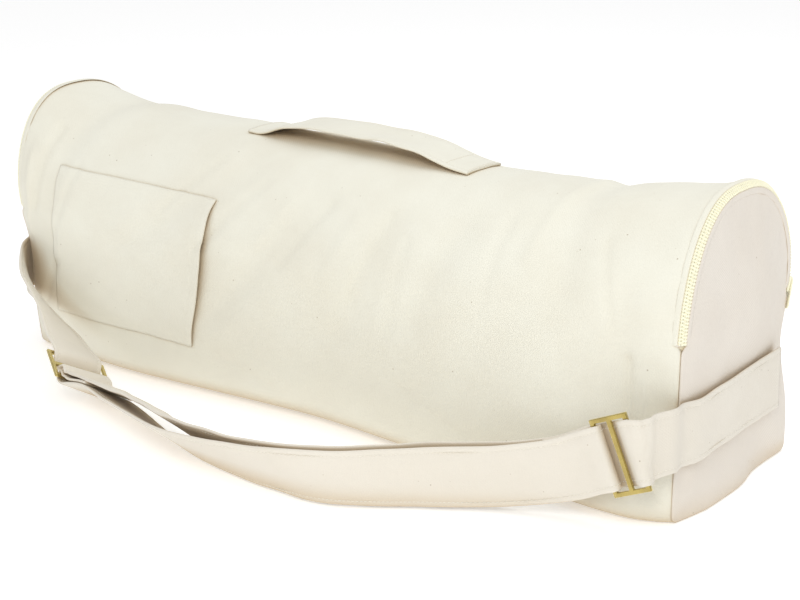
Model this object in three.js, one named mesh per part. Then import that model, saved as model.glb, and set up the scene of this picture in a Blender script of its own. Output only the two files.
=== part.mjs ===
import * as THREE from "three";

// Yoga mat bag of heavy cotton canvas: a soft tube with a flat base and a rounded top, closed at
// both ends by arch-shaped panels with a zip over each arch, a carry handle on top, a patch pocket
// on the front and an adjustable shoulder strap with two brass sliders. The bag stands on its base.
// Millimetres, X along the bag, -Y its front, +Z up, origin at the middle of the flat base.

// Bag
const bagLength = 690;
const bagWidth = 181;
const bagHeight = 244;
const clothWall = 1.6;
const archSpring = 125;
const endCorner = 6;
const middleCorner = 24;
const foldLift = 18;
const archShape = 0.8;
const bellyShape = 0.8;
const swayShape = 1.5;
const foldFade = 6;
const tipShape = 8;
const leanShape = 2;
const flareMiddle = -28;
const flareReach = 52;
const flareHeight = 28;
const waistHeight = 100;
const waistReach = 42;
const panelDome = 5;
const panelHeart = 0.45;
const domeShape = 2.4;
const seamGap = 0.4;

// Zips
const zipStart = 137;
const zipFace = 9;
const zipSeam = 1.5;
const tapeWall = 1;
const teethWidth = 6.4;
const teethHeight = 2.2;
const pullLength = 13;
const pullWidth = 9;
const pullHeight = 2.6;
const pullTab = 20;
const pullTabWall = 1.2;

// Carry handle
const handleLength = 238;
const handleWidth = 49;
const handleWall = 2.6;
const handleCentre = -13;
const handleBack = 2;
const handleRise = 11.5;
const handleHold = 0.6;

// Pocket
const pocketInset = 48;
const pocketWidth = 185;
const pocketHeight = 135;
const pocketDrop = 7;
const pocketSlant = 11;
const pocketFoot = 47;
const pocketWall = 1.6;
const pocketGape = 4;
const gapeShape = 6;
const pocketStand = 1.9;

// Shoulder strap and sliders
const strapWidth = 50;
const strapWall = 2.4;
const strapGap = 0.5;
const barGap = 1.1;
const tailLength = 62;
const sliderLength = 33;
const sliderWidth = 60;
const sliderWall = 2.6;
const barWidth = 4;
const railWidth = 3.6;
const straightShare = 0.66;
const closeShare = 1.9;

// Facets
const baseSteps = 2;
const cornerSteps = 3;
const sideSteps = 5;
const archSteps = 8;
const bodySteps = 34;
const zipSteps = 26;
const closeStep = 3.2;
const wideStep = 11;
const endCrowding = 0.35;
const handleSteps = 30;
const handleColumns = 4;
const pocketSteps = 14;
const pocketLevels = 12;

const halfLength = bagLength / 2;
const halfWidth = bagWidth / 2;

// Body sections, one row for each place along the bag: at is a share of half the length, crown a
// share of the bag height, front and back the belly of each side, foot the spread of the cloth near
// the floor and sway the lean of the crown to the front, as shares of the bag width.
const sections = [
  { at: -1.0, crown: 1.0, front: 0.04, back: -0.02, foot: 0.0, sway: 0.14 },
  { at: -0.97, crown: 0.987, front: 0.075, back: 0.02, foot: 0.02, sway: 0.13 },
  { at: -0.9, crown: 0.949, front: 0.085, back: 0.05, foot: 0.045, sway: 0.1 },
  { at: -0.8, crown: 0.935, front: 0.085, back: 0.06, foot: 0.075, sway: 0.06 },
  { at: -0.6, crown: 0.917, front: 0.07, back: 0.065, foot: 0.11, sway: 0.02 },
  { at: -0.35, crown: 0.911, front: 0.06, back: 0.065, foot: 0.1, sway: 0.0 },
  { at: 0.0, crown: 0.902, front: 0.05, back: 0.065, foot: 0.065, sway: 0.0 },
  { at: 0.3, crown: 0.893, front: 0.045, back: 0.065, foot: 0.105, sway: 0.0 },
  { at: 0.6, crown: 0.904, front: 0.04, back: 0.06, foot: 0.13, sway: 0.0 },
  { at: 0.74, crown: 0.919, front: 0.03, back: 0.05, foot: 0.128, sway: 0.0 },
  { at: 0.85, crown: 0.948, front: 0.03, back: 0.04, foot: 0.125, sway: 0.0 },
  { at: 0.95, crown: 0.968, front: 0.02, back: 0.02, foot: 0.09, sway: 0.0 },
  { at: 1.0, crown: 0.985, front: 0.0, back: 0.0, foot: 0.02, sway: 0.0 },
];

// Shape of the ends in the same terms: waist is the pinch of the back, and at the left of the front
// too, at the height of the strap, tip the curl of the top to the front and inwards, lean the
// outward lean of the whole end and flare the outward bulge of its foot, as shares of the bag width.
const endShapes = [
  { at: -1.0, waist: 0.04, tip: 0.0, lean: 0.055, flare: 0.0 },
  { at: -0.97, waist: 0.033, tip: 0.0, lean: 0.047, flare: 0.0 },
  { at: -0.9, waist: 0.015, tip: 0.0, lean: 0.026, flare: 0.0 },
  { at: -0.8, waist: 0.0, tip: 0.0, lean: 0.0, flare: 0.0 },
  { at: 0.74, waist: 0.0, tip: 0.0, lean: 0.0, flare: 0.0 },
  { at: 0.85, waist: 0.02, tip: 0.003, lean: 0.0, flare: 0.0 },
  { at: 0.95, waist: 0.07, tip: 0.008, lean: 0.0, flare: 0.02 },
  { at: 1.0, waist: 0.1, tip: 0.01, lean: 0.0, flare: 0.045 },
];

// Soft folds of the body's front and top, as lines on the cloth: at is a share of half the length,
// girth a share of the way from the front foot (0) over the crown (0.5) to the back foot (1).
// Depth is a share of the bag width, inwards, and spread the half width of the fold, likewise.
const folds = [
  { fromAt: -0.28, fromGirth: 0.45, toAt: -0.62, toGirth: 0.27, depth: 0.018, spread: 0.1 },
  { fromAt: -0.02, fromGirth: 0.43, toAt: -0.3, toGirth: 0.18, depth: 0.02, spread: 0.1 },
  { fromAt: 0.22, fromGirth: 0.42, toAt: 0.1, toGirth: 0.2, depth: 0.018, spread: 0.09 },
  { fromAt: 0.4, fromGirth: 0.43, toAt: 0.3, toGirth: 0.25, depth: 0.018, spread: 0.09 },
  { fromAt: 0.66, fromGirth: 0.52, toAt: 0.7, toGirth: 0.36, depth: 0.02, spread: 0.09 },
  { fromAt: 0.86, fromGirth: 0.36, toAt: 0.88, toGirth: 0.14, depth: 0.016, spread: 0.07 },
  { fromAt: -0.84, fromGirth: 0.5, toAt: -0.88, toGirth: 0.32, depth: 0.02, spread: 0.08 },
];

// Route of the shoulder strap from its sewn end on the right panel to the one on the left panel.
// Along is a share of half the length, out a share of half the width (negative is the front), up
// the height of the strap's middle as a share of its width, and lean its tilt in degrees, outwards
// at the top. A row with a heading is a slider, which keeps the strap straight: heading turns in
// plan from -X towards the back, and climb is the rise of the strap towards the left end.
const strapRoute = [
  { along: 1.022, out: 0.62, up: 1.5, lean: 0 },
  { along: 1.024, out: 0.1, up: 1.48, lean: 0 },
  { along: 1.024, out: -0.45, up: 1.44, lean: 0 },
  { along: 1.021, out: -0.8, up: 1.4, lean: 0 },
  { along: 1.011, out: -1.01, up: 1.42, lean: 0 },
  { along: 1.018, out: -1.2, up: 1.45, lean: 0 },
  { along: 0.993, out: -1.38, up: 1.42, lean: 0 },
  { along: 0.93, out: -1.45, up: 1.23, lean: 0, heading: 0, climb: -24 },
  { along: 0.8, out: -1.49, up: 0.8, lean: 0 },
  { along: 0.67, out: -1.68, up: 0.58, lean: 1 },
  { along: 0.53, out: -2.03, up: 0.53, lean: 5 },
  { along: 0.35, out: -2.52, up: 0.51, lean: 17 },
  { along: 0.16, out: -2.63, up: 0.45, lean: 33 },
  { along: -0.08, out: -2.55, up: 0.37, lean: 48 },
  { along: -0.28, out: -2.29, up: 0.35, lean: 56 },
  { along: -0.44, out: -2.09, up: 0.38, lean: 60 },
  { along: -0.593, out: -1.885, up: 0.47, lean: 60, heading: 29, climb: 26 },
  { along: -0.735, out: -1.62, up: 0.96, lean: 52 },
  { along: -0.87, out: -1.48, up: 1.41, lean: 33 },
  { along: -0.955, out: -1.3, up: 1.57, lean: 9 },
  { along: -1.003, out: -1.135, up: 1.6, lean: 0 },
  { along: -1.026, out: -0.92, up: 1.6, lean: 0 },
  { along: -1.026, out: -0.4, up: 1.54, lean: 0 },
  { along: -1.024, out: 0.1, up: 1.5, lean: 0 },
  { along: -1.022, out: 0.62, up: 1.5, lean: 0 },
];

// Rise of the carry handle above the bag, as shares of its rise, at shares of its length.
const handleArch = [
  { at: 0.0, rise: 0.0 },
  { at: 0.06, rise: 0.02 },
  { at: 0.16, rise: 0.58 },
  { at: 0.3, rise: 0.95 },
  { at: 0.42, rise: 1.0 },
  { at: 0.6, rise: 0.9 },
  { at: 0.76, rise: 0.74 },
  { at: 0.91, rise: 0.18 },
  { at: 1.0, rise: 0.0 },
];

// Value of a column at a place, eased between the table's rows.
function readTable(rows, place, column) {
  const last = rows.length - 1;
  if (place <= rows[0].at) return rows[0][column];
  if (place >= rows[last].at) return rows[last][column];
  const k = rows.findIndex((row, i) => i < last && place <= rows[i + 1].at);
  const span = rows[k + 1].at - rows[k].at;
  const share = (place - rows[k].at) / span;
  const slope = (i) => {
    const a = rows[Math.max(i - 1, 0)];
    const b = rows[Math.min(i + 1, last)];
    return ((b[column] - a[column]) / (b.at - a.at)) * span;
  };
  const p0 = rows[k][column];
  const p1 = rows[k + 1][column];
  const squared = share * share;
  const cubed = squared * share;
  return (
    p0 * (2 * cubed - 3 * squared + 1) +
    slope(k) * (cubed - 2 * squared + share) +
    p1 * (3 * squared - 2 * cubed) +
    slope(k + 1) * (cubed - squared)
  );
}

// Closed body from triangles of points: shared points become one, triangles without area are
// dropped, and the faces are turned outwards.
function closedGeometry(triangles) {
  const places = [];
  const indexOf = new Map();
  const number = (p) => {
    const key = [p.x, p.y, p.z].map((v) => Math.round(v * 200)).join(",");
    if (!indexOf.has(key)) {
      indexOf.set(key, places.length / 3);
      places.push(p.x, p.y, p.z);
    }
    return indexOf.get(key);
  };
  const faces = [];
  let volume = 0;
  for (const [a, b, c] of triangles) {
    const ids = [number(a), number(b), number(c)];
    if (new Set(ids).size < 3) continue;
    faces.push(ids);
    volume += a.dot(new THREE.Vector3().crossVectors(b, c));
  }
  const index = faces.flatMap(([a, b, c]) => (volume < 0 ? [a, c, b] : [a, b, c]));
  const geometry = new THREE.BufferGeometry();
  geometry.setAttribute("position", new THREE.Float32BufferAttribute(places, 3));
  geometry.setIndex(index);
  geometry.computeVertexNormals();
  return geometry;
}

// Cloth between an outer and an inner grid of points, with all its edges closed. A ring grid also
// joins its last column to its first.
function cloth(outer, inner, ring) {
  const triangles = [];
  const quad = (a, b, c, d) => triangles.push([a, b, c], [a, c, d]);
  const rows = outer.length;
  const columns = outer[0].length;
  const columnSteps = ring ? columns : columns - 1;
  for (let i = 0; i < rows - 1; i += 1) {
    for (let j = 0; j < columnSteps; j += 1) {
      const k = (j + 1) % columns;
      quad(outer[i][j], outer[i + 1][j], outer[i + 1][k], outer[i][k]);
      quad(inner[i][j], inner[i][k], inner[i + 1][k], inner[i + 1][j]);
    }
  }
  for (let j = 0; j < columnSteps; j += 1) {
    const k = (j + 1) % columns;
    const end = rows - 1;
    quad(outer[0][j], outer[0][k], inner[0][k], inner[0][j]);
    quad(outer[end][j], inner[end][j], inner[end][k], outer[end][k]);
  }
  if (!ring) {
    const side = columns - 1;
    for (let i = 0; i < rows - 1; i += 1) {
      quad(outer[i][0], inner[i][0], inner[i + 1][0], outer[i + 1][0]);
      quad(outer[i][side], outer[i + 1][side], inner[i + 1][side], inner[i][side]);
    }
  }
  return closedGeometry(triangles);
}

// Band of cloth along a path: width vectors point across it, and its faces lie half a wall to
// either side.
function band(path, across, width, wall) {
  const outer = [];
  const inner = [];
  path.forEach((point, i) => {
    const before = path[Math.max(i - 1, 0)];
    const after = path[Math.min(i + 1, path.length - 1)];
    const run = new THREE.Vector3().subVectors(after, before).normalize();
    const face = new THREE.Vector3().crossVectors(across[i], run).normalize();
    const edges = [-width / 2, width / 2].map((w) => point.clone().addScaledVector(across[i], w));
    outer.push(edges.map((edge) => edge.clone().addScaledVector(face, wall / 2)));
    inner.push(edges.map((edge) => edge.clone().addScaledVector(face, -wall / 2)));
  });
  return cloth(outer, inner, false);
}

// Half outline of a section, from the middle of the base round the back to the crown. The first
// step of the arch ends where the zip starts, at its share of the arch's height.
function halfOutline(half, crown, corner) {
  const points = [];
  for (let i = 0; i < baseSteps; i += 1) {
    points.push([((half - corner) * i) / baseSteps, 0]);
  }
  for (let i = 0; i < cornerSteps; i += 1) {
    const turn = (Math.PI / 2) * (i / cornerSteps);
    points.push([half - corner + corner * Math.sin(turn), corner - corner * Math.cos(turn)]);
  }
  for (let i = 0; i < sideSteps; i += 1) {
    points.push([half, corner + ((archSpring - corner) * i) / sideSteps]);
  }
  const first = Math.asin((zipStart - archSpring) / (bagHeight - archSpring));
  points.push([half, archSpring]);
  for (let i = 0; i <= archSteps; i += 1) {
    const turn = first + ((Math.PI / 2 - first) * i) / archSteps;
    const reach = Math.max(Math.cos(turn), 0) ** archShape;
    points.push([half * reach, archSpring + (crown - archSpring) * Math.sin(turn)]);
  }
  return points;
}

// Whole outline as [y, z] pairs, from the crown down the front, under the base and up the back.
function outline(half, crown, corner) {
  const back = halfOutline(half, crown, corner);
  const front = back.slice(1).map(([y, z]) => [-y, z]);
  return [...front.reverse(), ...back.slice(0, -1)];
}

// Depth of all folds at a place on the cloth.
function foldDepth(at, girth) {
  const girthLength = bagWidth + bagHeight * 2;
  let depth = 0;
  for (const fold of folds) {
    const start = new THREE.Vector2(fold.fromAt * halfLength, fold.fromGirth * girthLength);
    const end = new THREE.Vector2(fold.toAt * halfLength, fold.toGirth * girthLength);
    const line = new THREE.Vector2().subVectors(end, start);
    const place = new THREE.Vector2(at * halfLength, girth * girthLength);
    const run = new THREE.Vector2().subVectors(place, start).dot(line) / line.lengthSq();
    const share = THREE.MathUtils.clamp(run, 0, 1);
    const distance = start.clone().addScaledVector(line, share).distanceTo(place);
    const spread = fold.spread * bagWidth;
    depth += fold.depth * bagWidth * Math.exp(-((distance / spread) ** 2));
  }
  return depth;
}

// Section of the body at a share of half its length, as [y, z] pairs: the end outline with its
// crown lowered, its sides bellied, its foot spread, its back pinched and the folds pressed in.
function bodySection(at) {
  const crown = readTable(sections, at, "crown") * bagHeight;
  const foot = readTable(sections, at, "foot") * bagWidth;
  const sway = readTable(sections, at, "sway") * bagWidth;
  const waist = readTable(endShapes, at, "waist") * bagWidth;
  const tip = readTable(endShapes, at, "tip") * bagWidth;
  const middle = 1 - at * at;
  const corner = endCorner + (middleCorner - endCorner) * middle;
  const plain = outline(halfWidth, crown, corner);
  const belly = { front: readTable(sections, at, "front"), back: readTable(sections, at, "back") };
  return plain.map(([y, z]) => {
    const level = z / crown;
    const swell = Math.sin(Math.PI * Math.min(level, 1)) ** bellyShape;
    const side = Math.sign(y);
    const bulge = (side < 0 ? belly.front : belly.back) * bagWidth * swell;
    const low = Math.cos((Math.PI / 2) * Math.min(1, z / archSpring)) ** 2;
    const spread = (side < 0 ? 1 : 0.5) * foot * low;
    const pinched = side > 0 || at < 0 ? side * waist : 0;
    const pinch = pinched * Math.exp(-(((z - waistHeight) / waistReach) ** 2));
    const shift = sway * level ** swayShape + tip * level ** tipShape + pinch;
    const wide = y + side * bulge + (y / halfWidth) * spread - shift;
    const overCrown = y < 0 ? 0.5 - 0.5 * (1 - level) : 0.5 + 0.5 * (1 - level);
    const lift = Math.min(1, z / foldLift);
    const free = THREE.MathUtils.smoothstep(middle * foldFade, 0, 1);
    const depth = foldDepth(at, overCrown) * lift * free;
    const reach = Math.hypot(wide, z - crown / 2) || 1;
    return [wide - (wide / reach) * depth, z - ((z - crown / 2) / reach) * depth];
  });
}

// Outward shift of the end of the bag at a place on its outline: the lean and the curl of its top
// and the bulge of its foot.
function endShift(at, y, z) {
  const level = z / (readTable(sections, at, "crown") * bagHeight);
  const tip = readTable(endShapes, at, "tip") * level ** tipShape;
  const lean = readTable(endShapes, at, "lean") * level ** leanShape;
  const low = Math.exp(-((z / flareHeight) ** 2) - ((y - flareMiddle) / flareReach) ** 4);
  const flare = readTable(endShapes, at, "flare") * low;
  return Math.sign(at) * (lean + flare - tip) * bagWidth;
}

// Outward normals of a closed outline, by its neighbours.
function outlineNormals(points) {
  const count = points.length;
  return points.map((_, i) => {
    const [ay, az] = points[(i + count - 1) % count];
    const [by, bz] = points[(i + 1) % count];
    const size = Math.hypot(by - ay, bz - az);
    return [-(bz - az) / size, (by - ay) / size].map((v) => -v);
  });
}

// Stations of the body, closer together near its ends.
const stations = Array.from({ length: bodySteps + 1 }, (_, i) => {
  const share = i / bodySteps;
  const even = share * 2 - 1;
  const at = even - (Math.cos(Math.PI * share) + even) * endCrowding;
  return { at, points: bodySection(at) };
});

// Section of the body's outer face between two stations, as the cloth spans them.
function spannedSection(x) {
  const at = THREE.MathUtils.clamp(x / halfLength, -1, 1);
  const next = Math.max(1, stations.findIndex((station) => station.at >= at));
  const [a, b] = [stations[next - 1], stations[next]];
  const share = (at - a.at) / (b.at - a.at);
  return a.points.map(([y, z], i) => {
    const [y1, z1] = b.points[i];
    return [y + (y1 - y) * share, z + (z1 - z) * share];
  });
}

// Height of the body's top at a place along and across it.
function bodyHeight(x, y) {
  const points = spannedSection(x);
  let height = 0;
  points.forEach(([ay, az], i) => {
    const [by, bz] = points[(i + 1) % points.length];
    if (az < archSpring || bz < archSpring || (ay - y) * (by - y) > 0 || ay === by) return;
    height = az + ((bz - az) * (y - ay)) / (by - ay);
  });
  return height;
}

// Place of the body's front at a place along it and a height.
function frontFace(x, z) {
  const points = spannedSection(x);
  const half = points.slice(0, points.length / 2);
  const low = half.findIndex(([, pz], i) => i > 0 && pz <= z);
  const [ay, az] = half[low - 1];
  const [by, bz] = half[low];
  return ay + ((by - ay) * (z - az)) / (bz - az);
}

// Body: the outer face lofted through its sections, and the wall's inner face inside it. Its end
// rings stand back behind the zips over the arches and behind the panels' edges below them.
const zipStep = zipFace / Math.SQRT2;
function bodyWrap() {
  const outer = [];
  const inner = [];
  for (const { at, points } of stations) {
    const normals = outlineNormals(points);
    const place = (y, z) => {
      const back = z > zipStart - 1 && Math.abs(at) > 0.9 ? zipStep : clothWall + seamGap;
      return new THREE.Vector3(at * (halfLength - back) + endShift(at, y, z), y, z);
    };
    outer.push(points.map(([y, z]) => place(y, z)));
    inner.push(
      points.map(([y, z], j) => {
        const point = place(y, z);
        point.y -= normals[j][0] * clothWall;
        point.z -= normals[j][1] * clothWall;
        return point;
      }),
    );
  }
  return cloth(outer, inner, true);
}

// End outline drawn in by the zip's step over the arch, and whole below the zip.
function panelOutline(side) {
  const points = bodySection(side);
  const normals = outlineNormals(points);
  return points.map(([y, z], i) => {
    const inset = z > zipStart - 1 ? zipStep : 0;
    return [y - normals[i][0] * inset, z - normals[i][1] * inset];
  });
}

// End panel: a slightly domed sheet, outer face out by its dome at the middle.
function endPanel(side) {
  const rim = panelOutline(side);
  const heart = [0, bagHeight * panelHeart];
  const rings = [0, 0.3, 0.6, 0.85, 1];
  const sheet = (back) =>
    rings.map((ring) =>
      rim.map(([y, z]) => {
        const dome = panelDome * (1 - ring ** domeShape);
        const py = heart[0] + (y - heart[0]) * ring;
        const pz = heart[1] + (z - heart[1]) * ring;
        const x = side * (halfLength + dome - back) + endShift(side, py, pz);
        return new THREE.Vector3(x, py, pz);
      }),
    );
  return cloth(sheet(0), sheet(clothWall), true);
}

// Line of a zip over the arch of an end, from its front end to its back end: its middle, the
// direction across it, the one out of it and its length so far.
function zipLine(side) {
  const points = bodySection(side);
  const normals = outlineNormals(points);
  const order = [];
  for (let i = archSteps; i >= 0; i -= 1) order.push(i);
  for (let i = 1; i <= archSteps; i += 1) order.push(points.length - i);
  const end = new THREE.Vector3(side, 0, 0);
  let length = 0;
  const line = [];
  for (const i of order) {
    const normal = new THREE.Vector3(0, normals[i][0], normals[i][1]);
    const point = new THREE.Vector3(side * (halfLength - zipStep / 2), points[i][0], points[i][1]);
    point.addScaledVector(normal, -zipStep / 2);
    point.x += endShift(side, point.y, point.z);
    if (line.length) length += point.distanceTo(line[line.length - 1].point);
    const face = normal.clone().add(end).normalize();
    const across = end.clone().sub(normal).normalize();
    line.push({ point, across, face, length });
  }
  return line;
}

// Place on a zip's line at a length along it.
function zipPlace(line, length) {
  const next = Math.max(1, line.findIndex((place) => place.length >= length - 1e-6));
  const [a, b] = [line[next - 1], line[next]];
  const share = (length - a.length) / (b.length - a.length);
  return {
    point: a.point.clone().lerp(b.point, share),
    across: a.across.clone().lerp(b.across, share).normalize(),
    face: a.face.clone().lerp(b.face, share).normalize(),
  };
}

function zipBand(side, width, wall, out, shorter) {
  const line = zipLine(side);
  const whole = line[line.length - 1].length;
  const places = [];
  for (let i = 0; i <= zipSteps; i += 1) {
    places.push(zipPlace(line, ((whole - shorter) * i) / zipSteps));
  }
  const path = places.map(({ point, face }) => point.addScaledVector(face, out));
  return band(path, places.map(({ across }) => across), width, wall);
}

// Zip slider with its tab, one plain piece at the zip's back end: a block over the tape and a
// flat tab hanging from it.
function zipPull(side) {
  const line = zipLine(side);
  const whole = line[line.length - 1].length;
  const place = zipPlace(line, whole - pullLength / 2);
  const below = zipPlace(line, whole);
  const down = new THREE.Vector3().subVectors(below.point, place.point).normalize();
  const face = place.face;
  const lowest = tapeWall / 2 + seamGap;
  const shape = new THREE.Shape();
  const top = lowest + pullHeight;
  shape.moveTo(-pullLength / 2, lowest);
  shape.lineTo(pullLength / 2, lowest);
  shape.lineTo(pullLength / 2, top);
  shape.lineTo(pullTab, top);
  shape.lineTo(pullTab, top + pullTabWall);
  shape.lineTo(-pullLength / 4, top + pullTabWall);
  shape.lineTo(-pullLength / 2, top);
  shape.closePath();
  const geometry = new THREE.ExtrudeGeometry(shape, { depth: pullWidth, bevelEnabled: false });
  geometry.translate(0, 0, -pullWidth / 2);
  const width = new THREE.Vector3().crossVectors(down, face).normalize();
  const outward = new THREE.Vector3().crossVectors(width, down);
  const frame = new THREE.Matrix4().makeBasis(down, outward, width);
  geometry.applyMatrix4(frame);
  geometry.translate(place.point.x, place.point.y, place.point.z);
  return geometry;
}

// Carry handle: a flat doubled strap, sewn down at both ends and standing off the crown between.
function carryHandle() {
  const outer = [];
  const inner = [];
  for (let i = 0; i <= handleSteps; i += 1) {
    const at = i / handleSteps;
    const x = handleCentre + handleLength * (at - 0.5);
    const rise = readTable(handleArch, at, "rise") * handleRise;
    const hold = 1 - Math.min(1, rise / handleRise / handleHold);
    const top = [];
    const under = [];
    for (let j = 0; j <= handleColumns; j += 1) {
      const y = handleBack + handleWidth * (j / handleColumns - 0.5);
      const seat = bodyHeight(x, handleBack) * (1 - hold) + bodyHeight(x, y) * hold;
      const low = seat + seamGap + rise + hold;
      top.push(new THREE.Vector3(x, y, low + handleWall));
      under.push(new THREE.Vector3(x, y, low));
    }
    outer.push(top);
    inner.push(under);
  }
  return cloth(outer, inner, false);
}

// Patch pocket on the front, sewn along its foot, top and left edges. Its mouth is the right edge,
// which slants inwards to its foot and gapes between its two sewn corners.
function frontPocket() {
  const outer = [];
  const inner = [];
  const pocketLeft = pocketInset - halfLength;
  for (let i = 0; i <= pocketSteps; i += 1) {
    const across = i / pocketSteps;
    const front = [];
    const behind = [];
    for (let j = 0; j <= pocketLevels; j += 1) {
      const up = j / pocketLevels;
      const x = pocketLeft + (pocketWidth - pocketSlant * (1 - up)) * across;
      const z = pocketFoot + (pocketHeight - pocketDrop * across) * up;
      const slope = (frontFace(x, z + 4) - frontFace(x, z - 4)) / 8;
      const flare = (frontFace(x + 6, z) - frontFace(x - 6, z)) / 12;
      const normal = new THREE.Vector3(flare, -1, slope).normalize();
      const open = across ** gapeShape * Math.sin(Math.PI * up) ** bellyShape;
      const stand = pocketStand + pocketGape * open;
      const seat = new THREE.Vector3(x, frontFace(x, z), z);
      behind.push(seat.clone().addScaledVector(normal, stand));
      front.push(seat.clone().addScaledVector(normal, stand + pocketWall));
    }
    outer.push(front);
    inner.push(behind);
  }
  return cloth(outer, inner, false);
}

// Strap's route as a smooth curve, with each slider's row widened into a straight stretch.
const straightReach = sliderLength * straightShare;
const routePoints = [];
const routeLeans = [];
const sliderNumbers = [];
for (const row of strapRoute) {
  const middle = new THREE.Vector3(
    row.along * halfLength,
    row.out * halfWidth,
    row.up * strapWidth,
  );
  if (row.heading === undefined) {
    routePoints.push(middle);
    routeLeans.push(row.lean);
    continue;
  }
  const heading = THREE.MathUtils.degToRad(row.heading);
  const climb = THREE.MathUtils.degToRad(row.climb);
  const run = new THREE.Vector3(
    -Math.cos(heading) * Math.cos(climb),
    Math.sin(heading) * Math.cos(climb),
    Math.sin(climb),
  );
  for (const step of [-1, -0.5, 0, 0.5, 1]) {
    if (step === 0) sliderNumbers.push(routePoints.length);
    routePoints.push(middle.clone().addScaledVector(run, step * straightReach));
    routeLeans.push(row.lean);
  }
}
const route = new THREE.CatmullRomCurve3(routePoints, false, "centripetal");
route.arcLengthDivisions = 2400;
const routeLength = route.getLength();
const stationLengths = routePoints.map((_, i) => {
  const lengths = route.getLengths();
  return lengths[Math.round((i / (routePoints.length - 1)) * (lengths.length - 1))];
});
const leanRows = routeLeans.map((lean, i) => ({ at: stationLengths[i], lean }));
const sliderPlaces = sliderNumbers.map((i) => stationLengths[i]);

// Frame of the strap at a length along its route: run, across (towards its top edge) and face
// (away from the bag).
function strapFrame(length) {
  const share = THREE.MathUtils.clamp(length / routeLength, 0, 1);
  const point = route.getPointAt(share);
  const run = route.getTangentAt(share);
  const up = new THREE.Vector3(0, 0, 1);
  up.addScaledVector(run, -up.dot(run)).normalize();
  const out = new THREE.Vector3().crossVectors(up, run);
  const lean = THREE.MathUtils.degToRad(readTable(leanRows, length, "lean"));
  const across = up.clone().multiplyScalar(Math.cos(lean)).addScaledVector(out, Math.sin(lean));
  const face = new THREE.Vector3().crossVectors(across, run).normalize();
  return { point, run, across, face };
}

// Points of a strap from rows of length along the route and offset out of it.
function strapBand(rows) {
  const path = [];
  const across = [];
  for (const { length, offset } of rows) {
    const frame = strapFrame(length);
    path.push(frame.point.addScaledVector(frame.face, offset));
    across.push(frame.across);
  }
  return band(path, across, strapWidth, strapWall);
}

// Offsets at a slider, by the distance from its middle towards the other slider. At the right one
// the running strap passes over the outer bar, then behind the middle bar and behind the inner bar
// with the loop round it. At the left one it comes from behind, over the middle bar and back.
const ply = strapWall + strapGap;
const overBar = sliderWall / 2 + barGap + strapWall / 2;
const barMiddle = (sliderLength - barWidth) / 2;
const rightWeave = [
  { at: -barMiddle * 2.6, offset: 0 },
  { at: -barMiddle - barWidth, offset: overBar * 0.98 },
  { at: -barMiddle + barWidth * 0.4, offset: overBar * 1.05 },
  { at: -barWidth * 0.7, offset: -overBar * 1.02 },
  { at: barWidth * 0.6, offset: -overBar * 1.05 },
  { at: barMiddle - barWidth * 1.3, offset: -overBar - ply * 1.12 },
  { at: tailLength, offset: -ply * 2 },
  { at: tailLength * 1.3, offset: -ply * 1.6 },
];
const leftWeave = [
  { at: -barMiddle * 2.6, offset: 0 },
  { at: -barMiddle - barWidth, offset: -overBar * 0.98 },
  { at: -barMiddle + barWidth * 0.4, offset: -overBar * 1.05 },
  { at: -barWidth * 0.7, offset: overBar * 0.98 },
  { at: barWidth * 0.55, offset: overBar * 0.95 },
  { at: barMiddle - barWidth * 1.5, offset: -overBar - ply * 1.12 },
  { at: tailLength, offset: -ply * 2 },
  { at: tailLength * 1.3, offset: -ply * 1.6 },
];
const gapes = [
  { at: 0.0, gape: 0.0 },
  { at: 0.15, gape: 1.6 },
  { at: 0.3, gape: 0.6 },
  { at: 0.5, gape: 0.5 },
  { at: 0.68, gape: 2.2 },
  { at: 0.85, gape: 2.6 },
  { at: 1.0, gape: 0.0 },
];

// Running strap: one length from end panel to end panel, through both sliders.
function shoulderStrap() {
  const [right, left] = sliderPlaces;
  const lengths = [];
  const closeReach = sliderLength * closeShare;
  const near = (length) => Math.min(Math.abs(length - right), Math.abs(length - left));
  let length = 0;
  while (length < routeLength - wideStep / 2) {
    lengths.push(length);
    length += near(length) < closeReach ? closeStep : wideStep;
  }
  lengths.push(routeLength);
  const free = left - right - tailLength * 2;
  const offsetAt = (place) => {
    const inner = Math.min(place - right, left - place);
    const weave = place - right < left - place ? rightWeave : leftWeave;
    const between = THREE.MathUtils.clamp((place - right - tailLength) / free, 0, 1);
    const gape = inner > tailLength ? readTable(gapes, between, "gape") * ply : 0;
    return readTable(weave, inner, "offset") - gape;
  };
  return strapBand(lengths.map((place) => ({ length: place, offset: offsetAt(place) })));
}

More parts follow.
